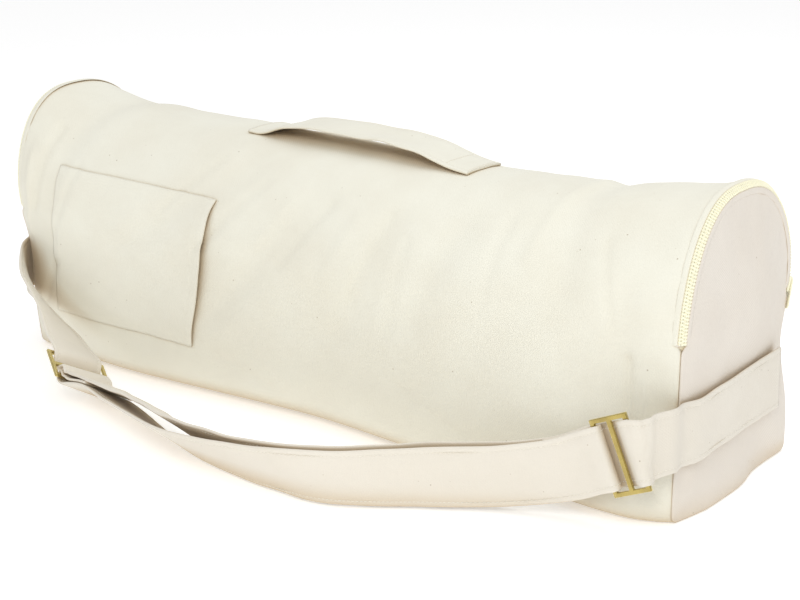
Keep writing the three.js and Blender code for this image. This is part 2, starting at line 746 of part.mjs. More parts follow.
// Middle strap: in front of the running strap, looped round the inner bar of each slider with a
// short sewn tail behind.
function middleStrap() {
  const [right, left] = sliderPlaces;
  const nose = barWidth / 2 + barGap + strapWall / 2;
  const loop = [
    { at: tailLength, offset: -ply },
    { at: tailLength * 0.75, offset: -ply },
    { at: tailLength * 0.5, offset: -ply * 1.02 },
    { at: barMiddle + barWidth * 1.6, offset: -overBar * 1.02 },
  ];
  for (const turn of [-80, -50, -20, 20, 50, 80]) {
    const angle = THREE.MathUtils.degToRad(turn);
    loop.push({ at: barMiddle - nose * Math.cos(angle) ** 0.8, offset: overBar * Math.sin(angle) });
  }
  loop.push({ at: barMiddle + barWidth * 1.6, offset: overBar * 0.94 });
  loop.push({ at: tailLength * 0.5, offset: overBar * 0.25 });
  loop.push({ at: tailLength * 0.75, offset: 0 });
  const rows = loop.map(({ at, offset }) => ({ length: right + at, offset }));
  const from = right + tailLength;
  const to = left - tailLength;
  const steps = Math.round((to - from) / wideStep);
  for (let i = 0; i <= steps; i += 1) {
    rows.push({ length: from + ((to - from) * i) / steps, offset: 0 });
  }
  for (const { at, offset } of loop.slice().reverse()) {
    rows.push({ length: left - at, offset });
  }
  return strapBand(rows);
}

// Slider: a flat brass frame with a middle bar, as a grid of cells of which two are open slots.
function slider(place) {
  const frame = strapFrame(place);
  const halfRun = sliderLength / 2;
  const halfAcross = sliderWidth / 2;
  const runs = [-halfRun, -halfRun + barWidth, -barWidth / 2, barWidth / 2, halfRun - barWidth, halfRun];
  const levels = [-halfAcross, -halfAcross + railWidth, halfAcross - railWidth, halfAcross];
  const isSolid = (i, j) => {
    if (i < 0 || j < 0 || i > runs.length - 2 || j > levels.length - 2) return false;
    return j !== 1 || i % 2 === 0;
  };
  const corner = (i, j, side) => {
    const point = frame.point.clone().addScaledVector(frame.run, runs[i]);
    point.addScaledVector(frame.across, levels[j]);
    return point.addScaledVector(frame.face, (side * sliderWall) / 2);
  };
  const triangles = [];
  const quad = (a, b, c, d) => triangles.push([a, b, c], [a, c, d]);
  for (let i = 0; i < runs.length - 1; i += 1) {
    for (let j = 0; j < levels.length - 1; j += 1) {
      if (!isSolid(i, j)) continue;
      for (const side of [1, -1]) {
        const [near, far] = side > 0 ? [i, i + 1] : [i + 1, i];
        const [low, high] = [j, j + 1];
        const foot = [corner(near, low, side), corner(far, low, side)];
        quad(...foot, corner(far, high, side), corner(near, high, side));
      }
      const wall = (i0, j0, i1, j1) =>
        quad(corner(i0, j0, -1), corner(i1, j1, -1), corner(i1, j1, 1), corner(i0, j0, 1));
      if (!isSolid(i, j - 1)) wall(i, j, i + 1, j);
      if (!isSolid(i, j + 1)) wall(i + 1, j + 1, i, j + 1);
      if (!isSolid(i - 1, j)) wall(i, j + 1, i, j);
      if (!isSolid(i + 1, j)) wall(i + 1, j, i + 1, j + 1);
    }
  }
  return closedGeometry(triangles);
}

// Materials and assembly
const canvas = () => new THREE.MeshStandardMaterial({ color: 0xf0efe2, roughness: 0.9 });
const webbing = () => new THREE.MeshStandardMaterial({ color: 0xefe9de, roughness: 0.85 });
const tape = () => new THREE.MeshStandardMaterial({ color: 0xf8f3cd, roughness: 0.8 });
const teeth = () => new THREE.MeshStandardMaterial({ color: 0xf4eebd, roughness: 0.45 });
const brass = () => new THREE.MeshStandardMaterial({ color: 0xbea550, roughness: 0.3, metalness: 1 });

const part = new THREE.Group();
function add(name, geometry, material) {
  const mesh = new THREE.Mesh(geometry, material);
  mesh.name = name;
  part.add(mesh);
}

add("body_wrap", bodyWrap(), canvas());
for (const [name, side] of [["right", 1], ["left", -1]]) {
  const teethOut = tapeWall / 2 + seamGap * 1.5 + teethHeight / 2;
  const tapeWidth = zipFace - 2 * zipSeam;
  add(`end_panel_${name}`, endPanel(side), canvas());
  add(`zip_tape_${name}`, zipBand(side, tapeWidth, tapeWall, 0, 0), tape());
  const teethEnd = pullLength + 2 * seamGap;
  add(`zip_teeth_${name}`, zipBand(side, teethWidth, teethHeight, teethOut, teethEnd), teeth());
  add(`zip_pull_${name}`, zipPull(side), teeth());
}
add("carry_handle", carryHandle(), webbing());
add("front_pocket", frontPocket(), canvas());
add("shoulder_strap", shoulderStrap(), webbing());
add("middle_strap", middleStrap(), webbing());
add("slider_right", slider(sliderPlaces[0]), brass());
add("slider_left", slider(sliderPlaces[1]), brass());

export default part;
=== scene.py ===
import math

import bpy
import numpy as np
from mathutils import Matrix, Vector


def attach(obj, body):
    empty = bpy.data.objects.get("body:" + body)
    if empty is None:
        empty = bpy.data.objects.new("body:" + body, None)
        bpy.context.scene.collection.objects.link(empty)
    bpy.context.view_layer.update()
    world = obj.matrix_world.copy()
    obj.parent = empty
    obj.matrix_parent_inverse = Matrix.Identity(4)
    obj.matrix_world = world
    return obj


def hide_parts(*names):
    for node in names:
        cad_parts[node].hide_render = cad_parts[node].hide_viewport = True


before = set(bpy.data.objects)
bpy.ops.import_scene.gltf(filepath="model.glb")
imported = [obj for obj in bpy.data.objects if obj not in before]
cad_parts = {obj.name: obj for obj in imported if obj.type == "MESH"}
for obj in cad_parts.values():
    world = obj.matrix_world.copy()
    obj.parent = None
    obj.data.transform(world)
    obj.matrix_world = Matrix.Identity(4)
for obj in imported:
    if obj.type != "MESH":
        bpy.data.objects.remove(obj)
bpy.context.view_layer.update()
bpy.ops.object.select_all(action="DESELECT")

# Yoga mat bag of heavy cotton canvas, standing on its base. Metres, X along the bag, -Y its front,
# +Z up. The sizes and tables are those of the part's source, but for the pocket, which is thinner.

# Bag
bag_length = 0.690
bag_width = 0.181
bag_height = 0.244
cloth_wall = 0.0016
arch_spring = 0.125
end_corner = 0.006
middle_corner = 0.024
fold_lift = 0.018
arch_shape = 0.8
belly_shape = 0.8
sway_shape = 1.5
fold_fade = 6
tip_shape = 8
lean_shape = 2
flare_middle = -0.028
flare_reach = 0.052
flare_height = 0.028
waist_height = 0.1
waist_reach = 0.042
panel_dome = 0.005
panel_heart = 0.45
dome_shape = 2.4
seam_gap = 0.0004

# Rings of the seam's turned-in cloth, out along the bag and inwards.
flange_rings = [(0.0002, 0.0006), (0.0003, 0.002), (0.0003, 0.0065)]

# Zips
zip_start = 0.137
zip_face = 0.009
zip_lead = 0.006
zip_fade = 0.008
tape_wall = 0.001
tape_width = 0.0088
tape_overrun = 0.007
tape_sink = 0.0006
tooth_run = 0.0019
tooth_reach = 0.0037
tooth_pitch = 0.0026
tooth_offset = 0.00135
tooth_start = 0.0005
core_width = 0.0058
core_height = 0.0018
core_drop = 0.0004
lip_inset = 0.0003
lip_corner = 0.009
teeth_height = 0.0022
pull_length = 0.013
pull_width = 0.009
pull_height = 0.0026
pull_tab = 0.02
pull_tab_wall = 0.0012

# Fold of cloth beside the teeth, across towards them and out, from the middle of the fold.
zip_lip = np.array(
    [
        (0.0013, 0.0002),
        (0.0014, 0.0010),
        (0.0010, 0.0014),
        (0.0003, 0.0014),
        (-0.0006, 0.0009),
        (-0.0015, 0.0001),
        (-0.0024, -0.0010),
        (-0.0030, -0.0018),
        (-0.0028, -0.0021),
        (-0.0003, -0.0004),
    ]
)

# Stitching
stitch_pitch = 0.0033
stitch_radius = 0.0003
stitch_length = 0.0026
groove_depth = 0.00022
handle_stitch_inset = 0.004
strap_stitch_inset = 0.0045

# Carry handle
handle_length = 0.238
handle_width = 0.049
handle_wall = 0.0026
handle_centre = -0.013
handle_back = 0.002
handle_rise = 0.0115
handle_hold = 0.6

# Pocket
pocket_inset = 0.048
pocket_width = 0.185
pocket_height = 0.135
pocket_drop = 0.007
pocket_slant = 0.011
pocket_foot = 0.047
pocket_wall = 0.001
pocket_gape = 0.004
gape_shape = 6
pocket_stand = 0.0002
pocket_fade = 0.009
hem_width = 0.0085
hem_wall = 0.0003

# Shoulder strap and sliders
strap_width = 0.050
strap_wall = 0.0024
strap_gap = 0.0005
bar_gap = 0.0011
tail_length = 0.062
slider_length = 0.033
slider_width = 0.060
slider_wall = 0.0026
bar_width = 0.004
rail_width = 0.0036
straight_share = 0.66

half_length = bag_length / 2
half_width = bag_width / 2
zip_step = zip_face / math.sqrt(2)
girth_length = bag_width + bag_height * 2

# Body sections: place as a share of half the length, crown as a share of the height, belly of the
# front and back, spread of the foot and lean of the crown as shares of the width.
section_places = [-1.0, -0.97, -0.9, -0.8, -0.6, -0.35, 0.0, 0.3, 0.6, 0.74, 0.85, 0.95, 1.0]
crowns = [1.0, 0.987, 0.949, 0.935, 0.917, 0.911, 0.902, 0.893, 0.904, 0.919, 0.948, 0.968, 0.985]
front_bellies = [0.04, 0.075, 0.085, 0.085, 0.07, 0.06, 0.05, 0.045, 0.04, 0.03, 0.03, 0.02, 0.0]
back_bellies = [-0.02, 0.02, 0.05, 0.06, 0.065, 0.065, 0.065, 0.065, 0.06, 0.05, 0.04, 0.02, 0.0]
feet = [0.0, 0.02, 0.045, 0.075, 0.11, 0.1, 0.065, 0.105, 0.13, 0.128, 0.125, 0.09, 0.02]
sways = [0.14, 0.13, 0.1, 0.06, 0.02, 0.0, 0.0, 0.0, 0.0, 0.0, 0.0, 0.0, 0.0]

# Shape of the ends: waist is the pinch of the back, and at the left of the front too, at the height
# of the strap, tip the curl of the top to the front and inwards, lean the outward lean of the end
# and flare the outward bulge of its foot, as shares of the width.
end_places = [-1.0, -0.97, -0.9, -0.8, 0.74, 0.85, 0.95, 1.0]
waists = [0.04, 0.033, 0.015, 0.0, 0.0, 0.02, 0.07, 0.1]
tips = [0.0, 0.0, 0.0, 0.0, 0.0, 0.003, 0.008, 0.01]
leans = [0.055, 0.047, 0.026, 0.0, 0.0, 0.0, 0.0, 0.0]
flares = [0.0, 0.0, 0.0, 0.0, 0.0, 0.0, 0.02, 0.045]

# Soft folds as lines on the cloth: place along and girth (front foot 0, crown 0.5, back foot 1) of
# both ends, depth inwards and half width as shares of the bag width.
folds = [
    (-0.28, 0.45, -0.62, 0.27, 0.018, 0.1),
    (-0.02, 0.43, -0.3, 0.18, 0.02, 0.1),
    (0.22, 0.42, 0.1, 0.2, 0.018, 0.09),
    (0.4, 0.43, 0.3, 0.25, 0.018, 0.09),
    (0.66, 0.52, 0.7, 0.36, 0.02, 0.09),
    (0.86, 0.36, 0.88, 0.14, 0.016, 0.07),
    (-0.84, 0.5, -0.88, 0.32, 0.02, 0.08),
]

# Small creases in the same terms, which only the finished cloth has.
creases = [
    (-0.37, 0.46, -0.5, 0.36, 0.009, 0.022),
    (-0.2, 0.44, -0.36, 0.3, 0.0105, 0.03),
    (-0.1, 0.42, -0.18, 0.33, -0.009, 0.03),
    (0.02, 0.43, -0.1, 0.3, 0.0105, 0.03),
    (0.12, 0.42, 0.05, 0.3, -0.0075, 0.03),
    (0.2, 0.43, 0.12, 0.26, 0.0105, 0.028),
    (0.27, 0.4, 0.24, 0.22, 0.009, 0.026),
    (0.52, 0.46, 0.5, 0.3, 0.009, 0.03),
    (0.62, 0.5, 0.6, 0.4, -0.009, 0.028),
    (0.78, 0.44, 0.84, 0.3, 0.009, 0.02),
    (0.88, 0.26, 0.9, 0.14, 0.0135, 0.022),
    (0.93, 0.22, 0.95, 0.1, -0.0105, 0.018),
    (0.8, 0.12, 0.9, 0.05, 0.012, 0.022),
    (0.92, 0.1, 0.985, 0.03, 0.015, 0.02),
    (-0.9, 0.46, -0.93, 0.3, 0.0135, 0.022),
    (-0.95, 0.4, -0.96, 0.24, -0.012, 0.02),
    (-0.8, 0.4, -0.86, 0.25, 0.009, 0.026),
    (-0.86, 0.2, -0.95, 0.08, 0.0135, 0.024),
    (-0.3, 0.1, -0.1, 0.06, 0.0075, 0.03),
    (0.3, 0.13, 0.5, 0.07, 0.0075, 0.03),
    (-0.4, 0.56, -0.2, 0.66, 0.0105, 0.03),
    (0.1, 0.55, 0.3, 0.7, 0.0105, 0.035),
    (0.6, 0.56, 0.75, 0.7, 0.012, 0.03),
    (-0.75, 0.56, -0.62, 0.74, 0.012, 0.03),
    (0.9, 0.6, 0.88, 0.78, 0.0135, 0.022),
    (-0.92, 0.6, -0.9, 0.8, 0.0135, 0.022),
]

# Route of the shoulder strap: along, out and up as shares of half the length, half the width and
# the strap's width, lean in degrees, and for a slider its heading and climb in degrees.
strap_route = [
    (1.022, 0.62, 1.5, 0),
    (1.024, 0.1, 1.48, 0),
    (1.024, -0.45, 1.44, 0),
    (1.021, -0.8, 1.4, 0),
    (1.011, -1.01, 1.42, 0),
    (1.018, -1.2, 1.45, 0),
    (0.993, -1.38, 1.42, 0),
    (0.93, -1.45, 1.23, 0, 0, -24),
    (0.8, -1.49, 0.8, 0),
    (0.67, -1.68, 0.58, 1),
    (0.53, -2.03, 0.53, 5),
    (0.35, -2.52, 0.51, 17),
    (0.16, -2.63, 0.45, 33),
    (-0.08, -2.55, 0.37, 48),
    (-0.28, -2.29, 0.35, 56),
    (-0.44, -2.09, 0.38, 60),
    (-0.593, -1.885, 0.47, 60, 29, 26),
    (-0.735, -1.62, 0.96, 52),
    (-0.87, -1.48, 1.41, 33),
    (-0.955, -1.3, 1.57, 9),
    (-1.003, -1.135, 1.6, 0),
    (-1.026, -0.92, 1.6, 0),
    (-1.026, -0.4, 1.54, 0),
    (-1.024, 0.1, 1.5, 0),
    (-1.022, 0.62, 1.5, 0),
]

# Rise of the carry handle as shares of its rise at shares of its length.
handle_places = [0.0, 0.06, 0.16, 0.3, 0.42, 0.6, 0.76, 0.91, 1.0]
handle_rises = [0.0, 0.02, 0.58, 0.95, 1.0, 0.9, 0.74, 0.18, 0.0]


# Camera, light and floor

camera_place = (0.9161, -1.1686, 0.5482)
camera_pitch = 17.32
camera_yaw = 37.47
camera_lens = 79.85

def place_camera():
    """Camera at the photograph's angle, looking down along the bag from its right end."""
    data = bpy.data.cameras.new("photo_camera")
    data.sensor_width = 36
    data.lens = camera_lens
    data.clip_end = 50
    camera = bpy.data.objects.new("photo_camera", data)
    camera.location = camera_place
    camera.rotation_euler = (math.radians(90 - camera_pitch), 0, math.radians(camera_yaw))
    bpy.context.scene.collection.objects.link(camera)
    bpy.context.scene.camera = camera


def soft_light(name, place, target, size, power, colour):
    """Square soft box at a place, turned to a target."""
    data = bpy.data.lights.new(name, "AREA")
    data.shape = "SQUARE"
    data.size = size
    data.energy = power
    data.color = colour
    light = bpy.data.objects.new(name, data)
    light.location = place
    light.rotation_euler = (Vector(target) - Vector(place)).to_track_quat("-Z", "Y").to_euler()
    bpy.context.scene.collection.objects.link(light)


def light_studio():
    """Bright white studio: an even surround, a soft box from the front right and one from above."""
    world = bpy.data.worlds.new("studio")
    world.use_nodes = True
    background = world.node_tree.nodes["Background"]
    background.inputs["Color"].default_value = (1.0, 1.0, 1.0, 1)
    background.inputs["Strength"].default_value = 0.66
    bpy.context.scene.world = world
    bpy.context.scene.view_settings.view_transform = "Standard"
    soft_light("key", (0.9, -1.4, 1.3), (0.1, 0, 0.1), 0.7, 11, (1.0, 0.995, 0.97))
    soft_light("top", (0.2, 0.6, 1.7), (0.1, 0, 0.1), 1.2, 8, (0.98, 0.99, 1.0))


def lay_floor():
    """Plain pale floor, wide enough for every view."""
    bpy.ops.mesh.primitive_plane_add(size=14, location=(0, 0, -0.0004))
    floor = bpy.context.object
    floor.name = "floor"
    paper = bpy.data.materials.new("pale_floor")
    paper.use_nodes = True
    shader = paper.node_tree.nodes["Principled BSDF"]
    shader.inputs["Base Color"].default_value = (0.9, 0.9, 0.9, 1)
    shader.inputs["Roughness"].default_value = 0.9
    shader.inputs["Emission Color"].default_value = (1, 1, 1, 1)
    shader.inputs["Emission Strength"].default_value = 0.34
    floor.data.materials.append(paper)
    bpy.ops.object.select_all(action="DESELECT")


# Reading tables and making cloth


def eased(places, values, place):
    """Value at a place, eased between the rows of a table."""
    places = np.asarray(places, float)
    values = np.asarray(values, float)
    place = np.clip(np.asarray(place, float), places[0], places[-1])
    last = len(places) - 1
    k = np.clip(np.searchsorted(places, place, side="left") - 1, 0, last - 1)
    rows = np.arange(last + 1)
    before = np.maximum(rows - 1, 0)
    after = np.minimum(rows + 1, last)
    slopes = (values[after] - values[before]) / (places[after] - places[before])
    span = places[k + 1] - places[k]
    share = (place - places[k]) / span
    squared = share * share
    cubed = squared * share
    return (
        values[k] * (2 * cubed - 3 * squared + 1)
        + slopes[k] * span * (cubed - 2 * squared + share)
        + values[k + 1] * (3 * squared - 2 * cubed)
        + slopes[k + 1] * span * (cubed - squared)
    )


def smooth_step(value):
    """Ease from 0 to 1 as the value goes from 0 to 1."""
    held = np.clip(value, 0, 1)
    return held * held * (3 - 2 * held)


def unit(vectors):
    """Vectors at length 1."""
    return vectors / np.maximum(np.linalg.norm(vectors, axis=-1, keepdims=True), 1e-12)


def ripple(u, v, size, seed, count=22):
    """Even random relief of about 1 at most, with bumps of about the given size."""
    chance = np.random.default_rng(seed)
    total = np.zeros(np.broadcast(u, v).shape)
    for _ in range(count):
        turn = chance.uniform(0, 2 * math.pi)
        wave = 2 * math.pi / (size * chance.uniform(0.75, 1.5))
        phase = chance.uniform(0, 2 * math.pi)
        total += np.sin(wave * (u * math.cos(turn) + v * math.sin(turn)) + phase)
    return total / math.sqrt(count) * 0.7


def make_piece(name, points, faces, uvs=None):
    """Mesh object from points, faces and one UV for each corner, smooth and on the root body."""
    mesh = bpy.data.meshes.new(name)
    mesh.from_pydata(points.reshape(-1, 3).tolist(), [], faces)
    if uvs is not None:
        layer = mesh.uv_layers.new(name="cloth")
        layer.data.foreach_set("uv", np.asarray(uvs, float).ravel())
    mesh.shade_smooth()
    mesh.update()
    piece = bpy.data.objects.new(name, mesh)
    bpy.context.scene.collection.objects.link(piece)
    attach(piece, "root")
    return piece


def grid_faces(rows, columns, ring):
    """Quads of a grid of points, with the corner numbers of a grid of one more column."""
    faces = []
    corners = []
    wide = columns + 1 if ring else columns
    for i in range(rows - 1):
        for j in range(wide - 1):
            k = (j + 1) % columns
            faces.append((i * columns + j, i * columns + k, (i + 1) * columns + k, (i + 1) * columns + j))
            corners.append((i * wide + j, i * wide + j + 1, (i + 1) * wide + j + 1, (i + 1) * wide + j))
    return faces, corners


def cloth_grid(name, points, along, across, ring=False):
    """Sheet of cloth from a grid of points. Along and across give its UV map, in metres."""
    rows, columns = points.shape[:2]
    faces, corners = grid_faces(rows, columns, ring)
    wide = columns + 1 if ring else columns
    flat = np.stack(
        [np.broadcast_to(along, (rows, wide)), np.broadcast_to(across, (rows, wide))], axis=-1
    ).reshape(-1, 2)
    return make_piece(name, points, faces, flat[np.array(corners).ravel()])


def pick(*pieces):
    """Select only these pieces, the first as the active one."""
    bpy.ops.object.select_all(action="DESELECT")
    for piece in pieces:
        piece.select_set(True)
    bpy.context.view_layer.objects.active = pieces[0]


def apply_modifiers(piece):
    """Apply every modifier of a piece."""
    pick(piece)
    for modifier in list(piece.modifiers):
        bpy.ops.object.modifier_apply(modifier=modifier.name)
    piece.select_set(False)


def face_outwards(piece):
    """Recalculate the normals of a closed or open skin to its outside."""
    pick(piece)
    bpy.ops.object.mode_set(mode="EDIT")
    bpy.ops.mesh.select_all(action="SELECT")
    bpy.ops.mesh.normals_make_consistent(inside=False)
    bpy.ops.object.mode_set(mode="OBJECT")
    piece.select_set(False)


def give_wall(piece, wall):
    """Thicken a skin of cloth inwards."""
    solid = piece.modifiers.new("cloth_wall", "SOLIDIFY")
    solid.thickness = wall
    solid.offset = -1
    solid.use_even_offset = False
    apply_modifiers(piece)


# Body of the bag


def half_outline(half, crown, corner):
    """Half outline of a section, from the middle of the base round the back to the crown."""
    base = np.linspace(0, half - corner, 9)[:-1]
    turn = np.linspace(0, math.pi / 2, 9)[:-1]
    side = np.linspace(corner, arch_spring, 27)[:-1]
    first = math.asin((zip_start - arch_spring) / (bag_height - arch_spring))
    arch = np.concatenate([np.linspace(0, first, 4)[:-1], np.linspace(first, math.pi / 2, 41)])
    y = np.concatenate(
        [
            base,
            half - corner + corner * np.sin(turn),
            np.full(len(side), half),
            half * np.maximum(np.cos(arch), 0) ** arch_shape,
        ]
    )
    z = np.concatenate(
        [
            np.zeros(len(base)),
            corner - corner * np.cos(turn),
            side,
            arch_spring + (crown - arch_spring) * np.sin(arch),
        ]
    )
    return y, z


def fold_depth(lines, at, girth):
    """Depth of all folds at places on the cloth."""
    depth = np.zeros(np.broadcast(at, girth).shape)
    u = at * half_length
    v = girth * girth_length
    for from_at, from_girth, to_at, to_girth, deep, spread in lines:
        start = np.array([from_at * half_length, from_girth * girth_length])
        line = np.array([to_at * half_length, to_girth * girth_length]) - start
        share = np.clip(((u - start[0]) * line[0] + (v - start[1]) * line[1]) / line.dot(line), 0, 1)
        gap = np.hypot(u - start[0] - share * line[0], v - start[1] - share * line[1])
        depth += deep * bag_width * np.exp(-((gap / (spread * bag_width)) ** 2))
    return depth


def settled(places, values, at):
    """Value of a table at a place along the bag, evened out over a short stretch."""
    reach = min(0.035, 1 - abs(at))
    return float(np.mean(eased(places, values, at + reach * np.linspace(-1, 1, 7))))


def body_section(at):
    """Section of the body as y, z and girth, from the crown down the front and up the back."""
    crown = settled(section_places, crowns, at) * bag_height
    foot = settled(section_places, feet, at) * bag_width
    sway = settled(section_places, sways, at) * bag_width
    front = settled(section_places, front_bellies, at) * bag_width
    back = settled(section_places, back_bellies, at) * bag_width
    waist = settled(end_places, waists, at) * bag_width
    tip = settled(end_places, tips, at) * bag_width
    middle = 1 - at * at
    corner = end_corner + (middle_corner - end_corner) * middle
    half_y, half_z = half_outline(half_width, crown, corner)
    y = np.concatenate([-half_y[1:][::-1], half_y[:-1]])
    z = np.concatenate([half_z[1:][::-1], half_z[:-1]])
    level = np.clip(z / crown, 0, 1)
    is_front = np.arange(len(y)) < len(half_y) - 1
    swell = np.sin(math.pi * level) ** belly_shape
    low = np.cos(math.pi / 2 * np.minimum(1, z / arch_spring)) ** 2
    bulge = np.where(is_front, front, back) * swell
    spread = np.where(is_front, 1, 0.5) * foot * low
    pinched = np.sign(y) * waist if at < 0 else np.where(is_front, 0, waist)
    pinch = pinched * np.exp(-(((z - waist_height) / waist_reach) ** 2))
    shift = sway * level**sway_shape + tip * level**tip_shape + pinch
    wide = y + np.sign(y) * bulge + y / half_width * spread - shift
    girth = np.where(is_front, 0.5 - 0.5 * (1 - level), 0.5 + 0.5 * (1 - level))
    lift = np.minimum(1, z / fold_lift)
    depth = fold_depth(folds, at, girth) * lift * smooth_step(middle * fold_fade)
    reach = np.maximum(np.hypot(wide, z - crown / 2), 1e-6)
    return wide - wide / reach * depth, z - (z - crown / 2) / reach * depth, girth


def end_shift(at, y, z):
    """Outward shift of the bag's end: the lean and curl of its top and the bulge of its foot."""
    level = np.clip(z, 0, None) / (settled(section_places, crowns, at) * bag_height)
    tip = settled(end_places, tips, at) * level**tip_shape
    lean = settled(end_places, leans, at) * level**lean_shape
    low = np.exp(-((z / flare_height) ** 2) - ((y - flare_middle) / flare_reach) ** 4)
    flare = settled(end_places, flares, at) * low
    return np.sign(at) * (lean + flare - tip) * bag_width


def outline_normals(y, z):
    """Outward normals of a closed outline."""
    along = np.stack([np.roll(y, -1) - np.roll(y, 1), np.roll(z, -1) - np.roll(z, 1)], axis=-1)
    along = unit(along)
    return np.stack([along[:, 1], -along[:, 0]], axis=-1)


def run_lengths(points, closed=False):
    """Length so far along a line of points, with the closing step if it is closed."""
    ahead = np.roll(points, -1, axis=0) if closed else points[1:]
    steps = np.linalg.norm(ahead - points[: len(ahead)], axis=-1)
    return np.concatenate([[0], np.cumsum(steps)])


def relief(at, girth, z):
    """Small relief of the finished cloth, outwards: creases, uneven tension and seam puckers."""
    u = at * half_length
    v = girth * girth_length
    from_end = half_length * (1 - np.abs(at))
    lift = smooth_step(z / 0.03)
    rim = smooth_step(from_end / 0.012)
    small = -fold_depth(creases, at, girth) * rim
    uneven = 0.0011 * ripple(u, v, 0.11, 3) + 0.00035 * ripple(u, v, 0.034, 5)
    puckers = np.exp(-from_end / 0.016) * ripple(u * 0.25, v, 0.021, 9) * 0.0008
    return (small + uneven * rim + puckers * (0.35 + 0.65 * rim)) * lift


def drawn_in(z):
    """Share by which the zip draws the cloth in, from just below its start upwards."""
    return smooth_step((z - zip_start + zip_lead) / zip_fade)


def body_points():
    """Grid of points on the body's outer face."""
    share = np.linspace(0, 1, 191)
    places = -np.cos(math.pi * share) * 0.35 + (share * 2 - 1) * 0.65
    rows = []
    for at in places:
        y, z, girth = body_section(at)
        normals = outline_normals(y, z)
        out = relief(at, girth, z)
        y = y + normals[:, 0] * out
        z = np.maximum(z + normals[:, 1] * out, 0)
        high = drawn_in(z)
        near_end = smooth_step((abs(at) - 0.9) / 0.1)
        seam_back = cloth_wall + seam_gap
        x = at * (half_length - seam_back) - np.sign(at) * (zip_step - seam_back) * high * near_end
        x = x + end_shift(at, y, z)
        rows.append(np.stack([x, y, z], axis=-1))
    return np.array(rows)


def seam_flange(row, side):
    """Rings of cloth turned inwards behind the panel at the end of the body."""
    normals = outline_normals(row[:, 1], row[:, 2])
    rings = []
    for out, inwards in flange_rings:
        ring = row.copy()
        ring[:, 0] += side * out
        ring[:, 1] -= normals[:, 0] * inwards
        ring[:, 2] -= normals[:, 1] * inwards
        rings.append(ring)
    return rings


body_grid = body_points()
grid_columns = body_grid.shape[1]
front_columns = grid_columns // 2


def front_face(x, z):
    """Place of the body's front at places along it and heights."""
    x, z = np.broadcast_arrays(np.asarray(x, float), np.asarray(z, float))
    flat_x = x.ravel()
    flat_z = z.ravel()
    middle_x = body_grid[:, 40, 0]
    k = np.clip(np.searchsorted(middle_x, flat_x) - 1, 0, len(middle_x) - 2)
    share = (flat_x - middle_x[k]) / (middle_x[k + 1] - middle_x[k])
    found = []
    for row, part, height in zip(k, share, flat_z):
        values = []
        for i in (row, row + 1):
            line = body_grid[i, :front_columns]
            values.append(np.interp(height, line[::-1, 2], line[::-1, 1]))
        found.append(values[0] + (values[1] - values[0]) * part)
    return np.array(found).reshape(x.shape)


def top_face(x, y):
    """Height of the body's top at places along and across it."""
    x, y = np.broadcast_arrays(np.asarray(x, float), np.asarray(y, float))
    high = body_grid[:, :, 2].argmax(axis=1)
    found = []
    for along, across in zip(x.ravel(), y.ravel()):
        k = int(np.clip(np.searchsorted(body_grid[:, 0, 0], along) - 1, 0, len(body_grid) - 2))
        share = (along - body_grid[k, 0, 0]) / (body_grid[k + 1, 0, 0] - body_grid[k, 0, 0])
        values = []
        for i in (k, k + 1):
            line = np.roll(body_grid[i], grid_columns // 2 - high[i], axis=0)
            arch = line[grid_columns // 2 - 38 : grid_columns // 2 + 39]
            values.append(np.interp(across, arch[::-1, 1], arch[::-1, 2]))
        found.append(values[0] + (values[1] - values[0]) * share)
    return np.array(found).reshape(x.shape)


def sew_body():
    """Body of the bag: a lofted tube of canvas, with its wall inwards."""
    middle = body_grid[len(body_grid) // 2]
    across = run_lengths(middle, closed=True)
    left = seam_flange(body_grid[0], -1)[::-1]
    right = seam_flange(body_grid[-1], 1)
    whole = np.concatenate([left, body_grid, right])
    edge = np.array([inwards for out, inwards in flange_rings])
    along = body_grid[:, :1, 0]
    along = np.concatenate([along[0] - edge[::-1, None], along, along[-1] + edge[:, None]])
    piece = cloth_grid("body_cloth", whole, along, across[None, :], ring=True)
    give_wall(piece, cloth_wall)
    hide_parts("body_wrap")
    return piece


# End panels and zips


def end_rim(side):
    """Outline of an end, its normals and the step by which the zip draws it in."""
    y, z, _ = body_section(float(side))
    normals = outline_normals(y, z)
    inset = zip_step * drawn_in(z)
    return y, z, normals, inset


